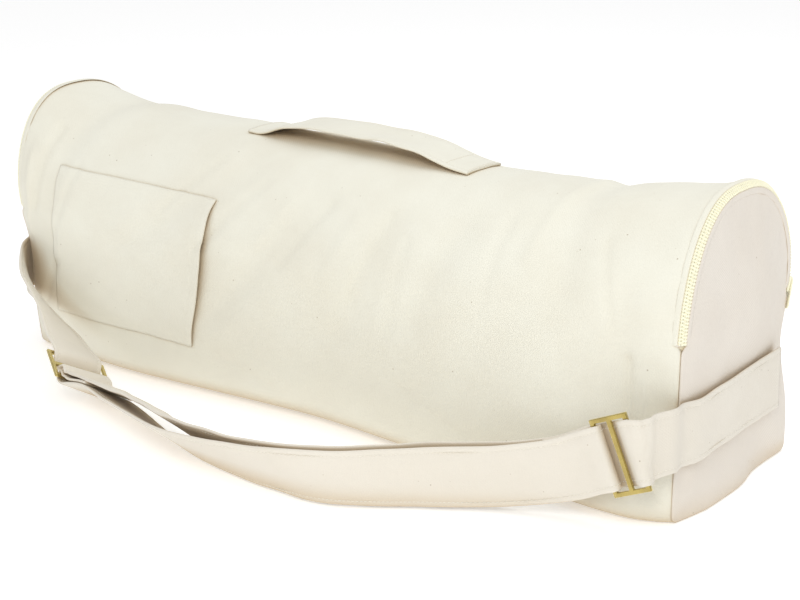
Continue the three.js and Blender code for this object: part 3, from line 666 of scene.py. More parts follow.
def end_panel(name, side):
    """Arch-shaped panel: a domed sheet of canvas with soft waves and puckers at its seam."""
    y, z, normals, inset = end_rim(side)
    rim_y = y - normals[:, 0] * inset
    rim_z = z - normals[:, 1] * inset
    heart_z = bag_height * panel_heart
    rings = np.concatenate([np.linspace(0.02, 0.9, 44), np.linspace(0.92, 1, 9)])
    py = rim_y[None, :] * rings[:, None]
    pz = heart_z + (rim_z[None, :] - heart_z) * rings[:, None]
    from_rim = (1 - rings[:, None]) * 0.1
    free = smooth_step(from_rim / 0.012)
    dome = panel_dome * (1 - rings[:, None] ** dome_shape)
    girth = run_lengths(np.stack([rim_y, rim_z], axis=-1), closed=True)[:-1]
    waves = 0.0012 * ripple(py, pz, 0.08, 21 + side) + 0.0003 * ripple(py, pz, 0.028, 31 + side)
    puckers = 0.0008 * np.exp(-from_rim / 0.014) * ripple(girth[None, :], from_rim * 0.3, 0.02, 41 + side)
    round_over = 0.0009 * np.clip((rings[:, None] - 0.985) / 0.015, 0, 1) ** 2
    x = side * (half_length + dome + waves * free + puckers * (0.3 + 0.7 * free) - round_over)
    x = x + end_shift(float(side), py, pz)
    points = np.stack([x, py, np.maximum(pz, 0)], axis=-1)
    rows, columns = points.shape[:2]
    faces, _ = grid_faces(rows, columns, True)
    middle = len(points.reshape(-1, 3))
    points = np.concatenate([points.reshape(-1, 3), [[points[0, :, 0].mean(), 0, heart_z]]])
    flat = points[:, 1:3]
    faces = faces + [(middle, (j + 1) % columns, j) for j in range(columns)]
    if side < 0:
        faces = [tuple(reversed(face)) for face in faces]
    uvs = flat[np.concatenate([np.array(face) for face in faces])]
    piece = make_piece(f"{name}_cloth", points, faces, uvs)
    face_outwards(piece)
    give_wall(piece, cloth_wall)
    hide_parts(name)
    return piece


def zip_line(side):
    """Line of a zip over an arch, from its front end to its back end."""
    y, z, _ = body_section(float(side))
    normals = outline_normals(y, z)
    count = len(y)
    high = [i for i in range(count) if z[i] >= zip_start - 0.009]
    front = sorted((i for i in high if i < count // 2), reverse=True)
    back = sorted((i for i in high if i > count // 2), reverse=True)
    order = front + back
    normal = np.stack([np.zeros(len(order)), normals[order, 0], normals[order, 1]], axis=-1)
    end = np.array([side, 0.0, 0.0])
    points = np.stack([np.full(len(order), side * (half_length - zip_step / 2)), y[order], z[order]], axis=-1)
    points = points - normal * zip_step / 2
    points[:, 0] += end_shift(float(side), points[:, 1], points[:, 2])
    face = unit(normal + end)
    across = unit(end - normal)
    lengths = run_lengths(points)
    heights = z[order]
    half = len(order) // 2
    start = np.interp(zip_start, heights[:half], lengths[:half])
    whole = np.interp(-zip_start, -heights[half:], lengths[half:]) - start
    return points, across, face, lengths - start, whole


def zip_place(line, length):
    """Point, direction across and direction out at lengths along a zip."""
    points, across, face, lengths, _ = line
    read = [
        np.stack([np.interp(length, lengths, column[:, i]) for i in range(3)], axis=-1)
        for column in (points, across, face)
    ]
    return read[0], unit(read[1]), unit(read[2])


def capped_band(name, rings, along, section):
    """Closed band from rings of points, with capped ends. Its UV map is along and round it."""
    rows, columns = rings.shape[:2]
    around = run_lengths(section, closed=True)
    faces, corners = grid_faces(rows, columns, True)
    wide = columns + 1
    flat = np.stack(
        [np.broadcast_to(along[:, None], (rows, wide)), np.broadcast_to(around, (rows, wide))], axis=-1
    ).reshape(-1, 2)
    uvs = [tuple(flat[i]) for corner in corners for i in corner]
    last = (rows - 1) * columns
    faces.append(tuple(range(columns - 1, -1, -1)))
    faces.append(tuple(range(last, last + columns)))
    uvs += [(along[0], a) for a in around[:columns]][::-1]
    uvs += [(along[-1], a) for a in around[:columns]]
    piece = make_piece(name, rings, faces, uvs)
    face_outwards(piece)
    return piece


def swept_band(name, centre, across, face, section):
    """Closed band along a path. The section is a ring of offsets across it and out of its face."""
    rings = (
        centre[:, None, :]
        + across[:, None, :] * section[..., 0:1]
        + face[:, None, :] * section[..., 1:2]
    )
    ring = section[0] if section.ndim == 3 else section
    return capped_band(name, rings, run_lengths(centre), ring)


def rounded_section(width, wall, groove=0.0, groove_at=0.0):
    """Ring of a flat band with rolled edges, and a shallow groove where it is topstitched."""
    half = width / 2
    roll = wall / 2
    levels = [(half, 0.0), (half - roll * 0.25, 0.62), (half - roll * 0.9, 0.95), (half - roll * 1.8, 1.04)]
    if groove:
        levels += [
            (groove_at + groove * 2.4, 1.04),
            (groove_at, 1 - 2 * groove / wall),
            (groove_at - groove * 2.4, 1.0),
        ]
    levels += [(half * 0.5, 1.0), (half * 0.2, 1.0)]
    top = [(w, t * wall / 2) for w, t in levels] + [(-w, t * wall / 2) for w, t in levels[:0:-1]]
    ring = top + [(-half, 0.0)] + [(w, -t) for w, t in top[:0:-1]]
    return np.array(ring)


def join_pieces(name, pieces):
    """Join pieces into one of the given name."""
    pick(*pieces)
    bpy.ops.object.join()
    pieces[0].name = name
    pieces[0].select_set(False)
    return pieces[0]


def set_rows(name, pattern, rows):
    """Copies of a small piece, at rows of frames of point, run, across and face, as one piece."""
    mesh = pattern.data
    points = np.array([vertex.co for vertex in mesh.vertices])
    faces = [tuple(polygon.vertices) for polygon in mesh.polygons]
    point, run, across, face = [np.concatenate(columns) for columns in zip(*rows)]
    placed = (
        point[:, None, :]
        + run[:, None, :] * points[None, :, 0:1]
        + across[:, None, :] * points[None, :, 1:2]
        + face[:, None, :] * points[None, :, 2:3]
    )
    count = len(points)
    all_faces = [tuple(i + k * count for i in one) for k in range(len(placed)) for one in faces]
    return make_piece(name, placed, all_faces)


def tooth_pattern():
    """One moulded zip tooth: a small block with a narrowed head and softened corners."""
    bpy.ops.mesh.primitive_cube_add(size=1)
    tooth = bpy.context.object
    tooth.scale = (tooth_run, tooth_reach, teeth_height)
    bpy.ops.object.transform_apply(location=False, rotation=False, scale=True)
    for vertex in tooth.data.vertices:
        if vertex.co.y > 0:
            vertex.co.x *= 0.8
        if vertex.co.z > 0:
            vertex.co.x *= 0.86
            vertex.co.y *= 0.9
    bevel = tooth.modifiers.new("soft_corners", "BEVEL")
    bevel.width = 0.00028
    bevel.segments = 1
    apply_modifiers(tooth)
    return tooth


def stitch_pattern():
    """One stitch of thick thread: a short lens, thickest at its middle."""
    bpy.ops.mesh.primitive_cylinder_add(
        vertices=6, radius=stitch_radius, depth=stitch_length, end_fill_type="NGON"
    )
    stitch = bpy.context.object
    bpy.ops.object.mode_set(mode="EDIT")
    bpy.ops.mesh.select_all(action="SELECT")
    bpy.ops.mesh.bisect(plane_co=(0, 0, 0), plane_no=(0, 0, 1))
    bpy.ops.object.mode_set(mode="OBJECT")
    points = np.array([vertex.co for vertex in stitch.data.vertices])
    thin = np.where(np.abs(points[:, 2:3]) > 0.001, 0.45, 1.0)
    lowered = np.where(np.abs(points[:, 2]) > 0.001, -0.00014, 0.0)
    turned = np.stack(
        [points[:, 2], points[:, 1] * thin[:, 0], points[:, 0] * thin[:, 0] + lowered], axis=-1
    )
    stitch.data.vertices.foreach_set("co", turned.ravel())
    stitch.data.update()
    return stitch


def row_frames(points, faces_out, pitch, start=0.0, end=None):
    """Frames every pitch along a line of points with their outward directions."""
    lengths = run_lengths(points)
    whole = lengths[-1] if end is None else end
    marks = np.arange(start + pitch / 2, whole - pitch / 2, pitch)
    place = np.stack([np.interp(marks, lengths, points[:, i]) for i in range(3)], axis=-1)
    ahead = np.stack([np.interp(marks + pitch / 4, lengths, points[:, i]) for i in range(3)], axis=-1)
    behind = np.stack([np.interp(marks - pitch / 4, lengths, points[:, i]) for i in range(3)], axis=-1)
    out = unit(np.stack([np.interp(marks, lengths, faces_out[:, i]) for i in range(3)], axis=-1))
    run = unit(ahead - behind)
    across = unit(np.cross(out, run))
    return place, run, across, unit(np.cross(run, across))


tooth = tooth_pattern()
stitch = stitch_pattern()


def zip_rows(side, out, offset, start, end, steps=200):
    """Points beside a zip's line and the directions across and out of it."""
    line = zip_line(side)
    marks = np.linspace(start, line[4] - end, steps)
    point, across, face = zip_place(line, marks)
    return point + face * out + across * offset, across, face


def make_zip(name, side):
    """Zip over an arch: its tape, two rows of teeth on their core and the folded cloth edges."""
    tape, across, face = zip_rows(side, -tape_sink, 0, -tape_overrun, -tape_overrun)
    section = rounded_section(tape_width, tape_wall)
    tape_piece = swept_band(f"zip_tape_{name}_cloth", tape, across, face, section)
    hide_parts(f"zip_tape_{name}")
    rows = []
    seat = tape_wall / 2 + teeth_height / 2
    core, across, face = zip_rows(side, seat - core_drop, 0, tooth_start, pull_length)
    section = rounded_section(core_width, core_height)
    core_piece = swept_band(f"zip_core_{name}", core, across, face, section)
    for row, turn in ((0, 1), (1, -1)):
        start = tooth_start + row * tooth_pitch / 2
        line, across, face = zip_rows(side, seat, turn * tooth_offset, start, pull_length)
        place, run, side_way, out = row_frames(line, face, tooth_pitch)
        rows.append((place, run * turn, side_way * turn, out))
    teeth = set_rows(f"zip_teeth_{name}_row", tooth, rows)
    for polygon in teeth.data.polygons:
        polygon.use_smooth = False
    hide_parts(f"zip_teeth_{name}")
    line = zip_line(side)
    whole = line[4]
    edge = zip_face / 2 - lip_inset
    marks = np.concatenate(
        [
            np.linspace(0, lip_corner, 24),
            np.linspace(lip_corner, whole - lip_corner, 160)[1:-1],
            np.linspace(whole - lip_corner, whole, 24),
        ]
    )
    near = np.minimum(marks, whole - marks)
    bend = np.sqrt(np.clip(1 - (1 - np.clip(near / lip_corner, 0, 1)) ** 2, 0, 1))
    lips = []
    for kind, turn, offsets in (("body", 1, -edge + 0 * bend), ("panel", -1, -edge + 2 * edge * bend)):
        point, across, face = zip_place(line, marks)
        centre = point + across * offsets[:, None]
        run = unit(np.gradient(centre, axis=0))
        sideways = unit(np.cross(face, run))
        sideways = sideways * np.sign(np.sum(sideways * across))
        section = zip_lip * [turn, 1]
        lips.append(swept_band(f"zip_edge_{kind}_{name}", centre, sideways, face, section))
    return tape_piece, (teeth, core_piece), lips


def make_pull(name, side):
    """Zip slider and tab at the zip's back end."""
    line = zip_line(side)
    whole = line[4]
    point, _, face = zip_place(line, np.array([whole - pull_length / 2, whole]))
    down = unit(point[1] - point[0])
    width = unit(np.cross(down, face[0]))
    outward = np.cross(width, down)
    lowest = tape_wall / 2 + seam_gap
    bpy.ops.mesh.primitive_cube_add(size=1, location=(0, 0, lowest + pull_height / 2))
    block = bpy.context.object
    block.scale = (pull_length, pull_width, pull_height)
    bpy.ops.object.transform_apply(location=True, rotation=False, scale=True)
    for vertex in block.data.vertices:
        if vertex.co.x > 0:
            vertex.co.y *= 0.62
    bevel = block.modifiers.new("rounded", "BEVEL")
    bevel.width = 0.0011
    bevel.segments = 3
    apply_modifiers(block)
    top = lowest + pull_height + pull_tab_wall / 2
    bpy.ops.object.select_all(action="DESELECT")
    bpy.ops.mesh.primitive_cylinder_add(vertices=32, radius=pull_width / 2, depth=pull_tab_wall)
    tab = bpy.context.object
    bpy.ops.object.mode_set(mode="EDIT")
    bpy.ops.mesh.select_all(action="SELECT")
    bpy.ops.mesh.bisect(plane_co=(0, 0, 0), plane_no=(1, 0, 0))
    bpy.ops.object.mode_set(mode="OBJECT")
    for vertex in tab.data.vertices:
        reach = pull_tab - pull_width / 2 if vertex.co.x > 1e-5 else -pull_length / 8
        vertex.co.x += reach
        vertex.co.z += top
    bevel = tab.modifiers.new("rounded", "BEVEL")
    bevel.width = 0.0004
    bevel.segments = 2
    bevel.limit_method = "ANGLE"
    apply_modifiers(tab)
    pull = join_pieces(f"zip_pull_{name}_enamel", [block, tab])
    turn = Matrix([(down[i], width[i], outward[i], point[0][i]) for i in range(3)] + [(0, 0, 0, 1)])
    pull.data.transform(turn)
    pull.location = (0, 0, 0)
    pull.data.update()
    face_outwards(pull)
    soften(pull, 40)
    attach(pull, "root")
    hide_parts(f"zip_pull_{name}")
    return pull


def soften(piece, angle):
    """Smooth shading with edges over the angle kept sharp."""
    pick(piece)
    bpy.ops.object.shade_smooth_by_angle(angle=math.radians(angle))
    piece.select_set(False)


# Carry handle and pocket


def carry_handle():
    """Flat doubled strap, sewn down at both ends and standing off the crown between."""
    shares = np.linspace(0, 1, 118)
    x = handle_centre + handle_length * (shares - 0.5)
    rise = eased(handle_places, handle_rises, shares) * handle_rise
    hold = 1 - np.minimum(1, rise / handle_rise / handle_hold)
    line_at = handle_width / 2 - handle_stitch_inset
    section = rounded_section(handle_width, handle_wall, groove=groove_depth, groove_at=line_at)
    y = handle_back + section[:, 0]
    flat = top_face(x, np.full(len(x), handle_back))
    seat = flat[:, None] * (1 - hold[:, None]) + top_face(x[:, None], y[None, :]) * hold[:, None]
    sag = 0.0012 * ripple(x[:, None], y[None, :], 0.05, 61) * smooth_step(rise / handle_rise)[:, None]
    cup = 0.0012 * (section[None, :, 0] / (handle_width / 2)) ** 2 * smooth_step(rise / handle_rise)[:, None]
    z = seat + seam_gap + rise[:, None] + handle_wall / 2 + section[None, :, 1] + sag + cup * 0.5
    points = np.stack([np.broadcast_to(x[:, None], z.shape), np.broadcast_to(y, z.shape), z], axis=-1)
    piece = capped_band("carry_handle_cloth", points, x, section)
    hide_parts("carry_handle")
    return piece, points, section


def handle_stitches(points, section):
    """Topstitching along the handle's edges and a box where each end is sewn down."""
    rows = []
    up = np.array([0.0, 0.0, 1.0])
    line_at = handle_width / 2 - handle_stitch_inset
    for turn in (1, -1):
        j = int(np.argmin(np.hypot(section[:, 0] - turn * line_at, section[:, 1] - 0.001)))
        line = points[:, j]
        rows.append(row_frames(line + up * 0.00015, np.tile(up, (len(line), 1)), stitch_pitch))
    shares = (points[:, 0, 0] - points[0, 0, 0]) / handle_length
    inside = [j for j in range(len(section)) if section[j, 1] > 0.0009 and abs(section[j, 0]) <= line_at]
    inside.sort(key=lambda j: section[j, 0])
    for share in (0.012, 0.105, 0.895, 0.988):
        i = int(np.argmin(np.abs(shares - share)))
        line = points[i, inside]
        rows.append(row_frames(line + up * 0.0002, np.tile(up, (len(line), 1)), stitch_pitch))
    return set_rows("handle_stitches", stitch, rows)


def front_pocket():
    """Patch pocket of canvas, sewn along three edges, with its mouth at the right edge."""
    across = np.linspace(0, 1, 88)
    up = np.linspace(0, 1, 64)
    gx = (pocket_width - pocket_slant * (1 - up[None, :])) * across[:, None]
    gx = gx + pocket_inset - half_length
    gz = pocket_foot + (pocket_height - pocket_drop * across[:, None]) * up[None, :]
    seat = front_face(gx, gz)
    slope = (front_face(gx, gz + 0.004) - front_face(gx, gz - 0.004)) / 0.008
    flare = (front_face(gx + 0.006, gz) - front_face(gx - 0.006, gz)) / 0.012
    normal = unit(np.stack([flare, -np.ones_like(seat), slope], axis=-1))
    open_share = across[:, None] ** gape_shape * np.sin(math.pi * up[None, :]) ** belly_shape
    from_edge = np.minimum(
        np.minimum(across[:, None] * pocket_width, (1 - across[:, None]) * pocket_width),
        np.minimum(up[None, :], 1 - up[None, :]) * pocket_height,
    )
    from_mouth = (1 - across[:, None]) * pocket_width
    hem = hem_wall * smooth_step((hem_width - from_mouth) / 0.0015)
    slack = 0.0007 * ripple(gx, gz, 0.07, 71) * smooth_step(from_edge / 0.02)
    tug = 0.0002 * ripple(gx, gz, 0.016, 73) * np.exp(-from_edge / 0.008)
    taper = pocket_wall * 0.95 * (1 - smooth_step(from_edge / pocket_fade)) * (1 - open_share)
    stand = pocket_stand + pocket_wall + pocket_gape * open_share + hem + slack + tug - taper
    seat_points = np.stack([gx, seat, gz], axis=-1)
    points = seat_points + normal * stand[..., None]
    piece = cloth_grid("front_pocket_cloth", points, gx, gz)
    give_wall(piece, pocket_wall)
    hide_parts("front_pocket")
    return piece, points, normal


def pocket_stitches(points, normal):
    """Topstitching along the pocket's three sewn edges and its mouth hem."""
    rows = []
    steps = points.shape[0] - 1
    levels = points.shape[1] - 1
    edge = 1
    hem = int(round(steps * (1 - 0.0075 / pocket_width)))
    lines = [
        (points[:, edge], normal[:, edge]),
        (points[:, levels - edge], normal[:, levels - edge]),
        (points[edge], normal[edge]),
        (points[hem], normal[hem]),
    ]
    for line, out in lines:
        rows.append(row_frames(line + out * 0.00012, out, stitch_pitch))
    return set_rows("pocket_stitches", stitch, rows)


# Shoulder strap


straight_reach = slider_length * straight_share
route_points = []
route_leans = []
slider_numbers = []
for row in strap_route:
    middle = np.array([row[0] * half_length, row[1] * half_width, row[2] * strap_width])
    if len(row) == 4:
        route_points.append(middle)
        route_leans.append(row[3])
        continue
    heading, climb = math.radians(row[4]), math.radians(row[5])
    way = np.array(
        [-math.cos(heading) * math.cos(climb), math.sin(heading) * math.cos(climb), math.sin(climb)]
    )
    for step in (-1, -0.5, 0, 0.5, 1):
        if step == 0:
            slider_numbers.append(len(route_points))
        route_points.append(middle + way * step * straight_reach)
        route_leans.append(row[3])
route_points = np.array(route_points)


def smooth_route(points, steps):
    """Smooth line through all the points, with even steps between each two."""
    first = points[0] * 2 - points[1]
    last = points[-1] * 2 - points[-2]
    held = np.concatenate([[first], points, [last]])
    line = []
    share = np.linspace(0, 1, steps, endpoint=False)[:, None]
    for i in range(1, len(held) - 2):
        p0, p1, p2, p3 = held[i - 1 : i + 3]
        d0, d1, d2 = (np.linalg.norm(b - a) ** 0.5 for a, b in ((p0, p1), (p1, p2), (p2, p3)))
        t1 = ((p1 - p0) / d0 - (p2 - p0) / (d0 + d1) + (p2 - p1) / d1) * d1
        t2 = ((p2 - p1) / d1 - (p3 - p1) / (d1 + d2) + (p3 - p2) / d2) * d1
        c2 = -3 * p1 + 3 * p2 - 2 * t1 - t2
        c3 = 2 * p1 - 2 * p2 + t1 + t2
        line.append(p1 + t1 * share + c2 * share**2 + c3 * share**3)
    return np.concatenate(line + [points[-1:]])


route_steps = 120
route_line = smooth_route(route_points, route_steps)
route_reach = run_lengths(route_line)
route_length = route_reach[-1]
station_lengths = route_reach[::route_steps]
slider_right_at, slider_left_at = (station_lengths[i] for i in slider_numbers)


def route_place(length):
    """Points of the route at lengths along it."""
    return np.stack([np.interp(length, route_reach, route_line[:, i]) for i in range(3)], axis=-1)


def strap_frame(length):
    """Point, run, direction across to the top edge and direction away from the bag."""
    length = np.clip(np.asarray(length, float), 0, route_length)
    reach = 0.0008
    point = route_place(length)
    ahead = np.minimum(length + reach, route_length)
    run = unit(route_place(ahead) - route_place(np.maximum(length - reach, 0)))
    up = np.array([0.0, 0.0, 1.0])
    up = unit(up - run * run[..., 2:3])
    out = np.cross(up, run)
    lean = np.radians(eased(station_lengths, route_leans, length))[..., None]
    across = up * np.cos(lean) + out * np.sin(lean)
    return point, run, across, unit(np.cross(across, run))


ply = strap_wall + strap_gap
over_bar = slider_wall / 2 + bar_gap + strap_wall / 2
bar_middle = (slider_length - bar_width) / 2


def weave_table(inner_share, outer_share, overs):
    """Places from a slider's middle inwards along the strap, and the woven strap's offsets there."""
    places = [
        -bar_middle * 2.6,
        -bar_middle - bar_width,
        -bar_middle + bar_width * 0.4,
        -bar_width * 0.7,
        bar_width * inner_share,
        bar_middle - bar_width * outer_share,
        tail_length,
        tail_length * 1.3,
    ]
    offsets = [0] + [over_bar * over for over in overs]
    return places, offsets + [-over_bar - ply * 1.12, -ply * 2, -ply * 1.6]


right_weave = weave_table(0.6, 1.3, (0.98, 1.05, -1.02, -1.05))
left_weave = weave_table(0.55, 1.5, (-0.98, -1.05, 0.98, 0.95))
gape_places = [0.0, 0.15, 0.3, 0.5, 0.68, 0.85, 1.0]
gape_plies = [0.0, 1.6, 0.6, 0.5, 2.2, 2.6, 0.0]

strap_lines = strap_width / 2 - strap_stitch_inset
strap_section = rounded_section(strap_width, strap_wall, groove=groove_depth, groove_at=strap_lines)


def strap_band(name, lengths, offsets, seed):
    """Strap along rows of length and offset, with slightly wavy edges. Gives its frames too."""
    point, run, across, face = strap_frame(lengths)
    centre = point + face * offsets[:, None]
    run = unit(np.gradient(centre, axis=0))
    face = unit(np.cross(across, run))
    near = np.minimum(np.abs(lengths - slider_right_at), np.abs(lengths - slider_left_at))
    loose = smooth_step((near - 0.02) / 0.05)
    wave = 0.0006 * ripple(lengths[:, None], strap_section[None, :, 0] * 0.4, 0.045, seed) * loose[:, None]
    section = np.broadcast_to(strap_section, (len(lengths), *strap_section.shape)).copy()
    section[..., 1] += wave * (np.abs(section[..., 0]) / (strap_width / 2)) ** 2
    piece = swept_band(name, centre, across, face, section)
    return piece, centre, across, face


def strap_stitches(name, centre, across, face, box=()):
    """Topstitching along both edges of a strap, on both faces."""
    rows = []
    for turn in (1, -1):
        for side in (1, -1):
            line = centre + across * turn * strap_lines + face * side * (strap_wall / 2 - 0.0001)
            rows.append(row_frames(line, face * side, stitch_pitch))
    for start, end in box:
        for way in (start, end):
            k = int(way if way >= 0 else len(centre) + way)
            steps = np.linspace(-strap_lines, strap_lines, 12)
            line = centre[k] + across[k] * steps[:, None] + face[k] * (strap_wall / 2 - 0.0001)
            rows.append(row_frames(line, np.tile(face[k], (12, 1)), stitch_pitch))
    return set_rows(name, stitch, rows)


def shoulder_strap():
    """Running strap from panel to panel, through both sliders."""
    lengths = np.linspace(0, route_length, int(route_length / 0.0026))
    from_right = lengths - slider_right_at
    from_left = slider_left_at - lengths
    inner = np.minimum(from_right, from_left)
    free = slider_left_at - slider_right_at - tail_length * 2
    between = np.clip((from_right - tail_length) / free, 0, 1)
    gape = np.where(inner > tail_length, eased(gape_places, gape_plies, between) * ply, 0)
    woven = np.where(
        from_right < from_left,
        eased(*right_weave, inner),
        eased(*left_weave, inner),
    )
    offsets = woven - gape
    piece, centre, across, face = strap_band("shoulder_strap_cloth", lengths, offsets, 81)
    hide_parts("shoulder_strap")
    stitches = strap_stitches("shoulder_strap_stitches", centre, across, face, box=[(2, 15), (-3, -16)])
    return piece, stitches


def middle_strap():
    """Middle strap, looped round the inner bar of each slider with a short tail behind."""
    nose = bar_width / 2 + bar_gap + strap_wall / 2
    loop = [
        (tail_length, -ply),
        (tail_length * 0.75, -ply),
        (tail_length * 0.5, -ply * 1.02),
        (bar_middle + bar_width * 1.6, -over_bar * 1.02),
    ]
    for turn in range(-80, 81, 16):
        angle = math.radians(turn)
        loop.append((bar_middle - nose * math.cos(angle) ** 0.8, over_bar * math.sin(angle)))
    loop += [
        (bar_middle + bar_width * 1.6, over_bar * 0.94),
        (tail_length * 0.5, over_bar * 0.25),
        (tail_length * 0.75, 0.0),
    ]
    start = slider_right_at + tail_length
    end = slider_left_at - tail_length
    rows = [(slider_right_at + at, offset) for at, offset in loop]
    rows += [(place, 0.0) for place in np.linspace(start, end, 90)]
    rows += [(slider_left_at - at, offset) for at, offset in reversed(loop)]
    rows = np.array(rows)
    reach = run_lengths(rows)
    marks = [0.0]
    while marks[-1] < reach[-1] - 0.001:
        here = np.interp(marks[-1], reach, rows[:, 0])
        near = min(abs(here - slider_right_at), abs(here - slider_left_at))
        marks.append(marks[-1] + (0.0008 if near < 0.022 else 0.0028))
    marks[-1] = reach[-1]
    lengths = eased(reach, rows[:, 0], marks)
    offsets = eased(reach, rows[:, 1], marks)
    piece, centre, across, face = strap_band("middle_strap_cloth", lengths, offsets, 83)
    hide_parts("middle_strap")
    stitches = strap_stitches("middle_strap_stitches", centre, across, face)
    return piece, stitches


def make_slider(name, place):
    """Flat brass slider: a plate cut to a frame with a middle bar, extruded and bevelled."""
    bpy.ops.object.select_all(action="DESELECT")
    bpy.ops.mesh.primitive_grid_add(x_subdivisions=5, y_subdivisions=3, size=1)
    piece = bpy.context.object
    piece.name = f"{name}_metal"
    half_run = slider_length / 2
    half_across = slider_width / 2
    runs = [-half_run, -half_run + bar_width, -bar_width / 2, bar_width / 2, half_run - bar_width, half_run]
    levels = [-half_across, -half_across + rail_width, half_across - rail_width, half_across]
    for vertex in piece.data.vertices:
        i = round((vertex.co.x + 0.5) * 5)
        j = round((vertex.co.y + 0.5) * 3)
        vertex.co = (runs[i], levels[j], -slider_wall / 2)
    bpy.ops.object.mode_set(mode="EDIT")
    bpy.ops.mesh.select_mode(type="FACE")
    bpy.ops.mesh.select_all(action="DESELECT")
    bpy.ops.object.mode_set(mode="OBJECT")
    for polygon in piece.data.polygons:
        x, y, _ = polygon.center
        in_slot = bar_width / 2 < abs(x) < half_run - bar_width and abs(y) < half_across - rail_width
        polygon.select = in_slot
    bpy.ops.object.mode_set(mode="EDIT")
    bpy.ops.mesh.delete(type="FACE")
    bpy.ops.mesh.select_all(action="SELECT")
    bpy.ops.mesh.extrude_region_move(TRANSFORM_OT_translate={"value": (0, 0, slider_wall)})
    bpy.ops.mesh.select_all(action="SELECT")
    bpy.ops.mesh.normals_make_consistent(inside=False)
    bpy.ops.object.mode_set(mode="OBJECT")
    bevel = piece.modifiers.new("polished_edges", "BEVEL")
    bevel.width = 0.0006
    bevel.segments = 3
    bevel.limit_method = "ANGLE"
    apply_modifiers(piece)
    point, run, across, face = strap_frame(np.array([place]))
    turn = Matrix(
        [(run[0][i], across[0][i], face[0][i], point[0][i]) for i in range(3)] + [(0, 0, 0, 1)]
    )
    piece.data.transform(turn)
    face_outwards(piece)
    soften(piece, 35)
    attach(piece, "root")
    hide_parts(name)
    return piece


# Materials


def new_group(name, inputs, outputs):
    """Empty shader node group with named sockets."""
    group = bpy.data.node_groups.new(name, "ShaderNodeTree")
    for socket, kind, value in inputs:
        made = group.interface.new_socket(name=socket, in_out="INPUT", socket_type=kind)
        if value is not None:
            made.default_value = value
    for socket, kind in outputs:
        group.interface.new_socket(name=socket, in_out="OUTPUT", socket_type=kind)
    group.nodes.new("NodeGroupInput")
    group.nodes.new("NodeGroupOutput")
    return group


class Wires:
    """Short ways to add and join nodes of one tree."""

    def __init__(self, tree):
        self.tree = tree

    def node(self, kind, **settings):
        made = self.tree.nodes.new(kind)
        for key, value in settings.items():
            setattr(made, key, value)
        return made

    def feed(self, socket, value):
        if isinstance(value, bpy.types.NodeSocket):
            self.tree.links.new(value, socket)
        else:
            socket.default_value = value

    def maths(self, operation, *values, clamp=False):
        made = self.node("ShaderNodeMath", operation=operation, use_clamp=clamp)
        for socket, value in zip(made.inputs, values):
            self.feed(socket, value)
        return made.outputs[0]

    def stretched(self, vector, scale):
        made = self.node("ShaderNodeVectorMath", operation="MULTIPLY")
        self.feed(made.inputs[0], vector)
        made.inputs[1].default_value = scale
        return made.outputs[0]

    def noise(self, vector, scale, detail=2.0, roughness=0.5):
        made = self.node("ShaderNodeTexNoise")
        self.feed(made.inputs["Vector"], vector)
        made.inputs["Scale"].default_value = scale
        made.inputs["Detail"].default_value = detail
        made.inputs["Roughness"].default_value = roughness
        return made.outputs["Fac"]

    def blend(self, share, first, second):
        made = self.node("ShaderNodeMix", data_type="RGBA")
        self.feed(made.inputs["Factor"], share)
        self.feed(made.inputs[6], first)
        self.feed(made.inputs[7], second)
        return made.outputs[2]

    def spread(self, value, low, high, to_low=0.0, to_high=1.0):
        made = self.node("ShaderNodeMapRange")
        self.feed(made.inputs["Value"], value)
        made.inputs["From Min"].default_value = low
        made.inputs["From Max"].default_value = high
        made.inputs["To Min"].default_value = to_low
        made.inputs["To Max"].default_value = to_high
        return made.outputs["Result"]


def build_weave():
    """Plain weave in metres of cloth: threads both ways, uneven yarn and its relief."""
    group = new_group(
        "plain_weave",
        [("Vector", "NodeSocketVector", None), ("Threads", "NodeSocketFloat", 900.0)],
        [("Height", "NodeSocketFloat"), ("Yarn", "NodeSocketFloat")],
    )
    wires = Wires(group)
    entry = next(node for node in group.nodes if node.type == "GROUP_INPUT")
    exit_node = next(node for node in group.nodes if node.type == "GROUP_OUTPUT")
    parts = wires.node("ShaderNodeSeparateXYZ")
    wires.feed(parts.inputs[0], entry.outputs["Vector"])
    turns = wires.maths("MULTIPLY", entry.outputs["Threads"], math.pi)
    warp = wires.maths("SINE", wires.maths("MULTIPLY", parts.outputs["X"], turns))
    weft = wires.maths("SINE", wires.maths("MULTIPLY", parts.outputs["Y"], turns))
    over = wires.maths("MULTIPLY", warp, weft)
    long_yarn = wires.noise(wires.stretched(entry.outputs["Vector"], (60, 1500, 1)), 1.0, 1.0)
    cross_yarn = wires.noise(wires.stretched(entry.outputs["Vector"], (1500, 60, 1)), 1.0, 1.0)
    yarn = wires.maths("MULTIPLY", wires.maths("ADD", long_yarn, cross_yarn), 0.5)
    height = wires.maths("ADD", wires.maths("MULTIPLY", over, 0.3), wires.maths("MULTIPLY", yarn, 1.2))
    wires.feed(exit_node.inputs["Height"], height)
    wires.feed(exit_node.inputs["Yarn"], yarn)
    return group


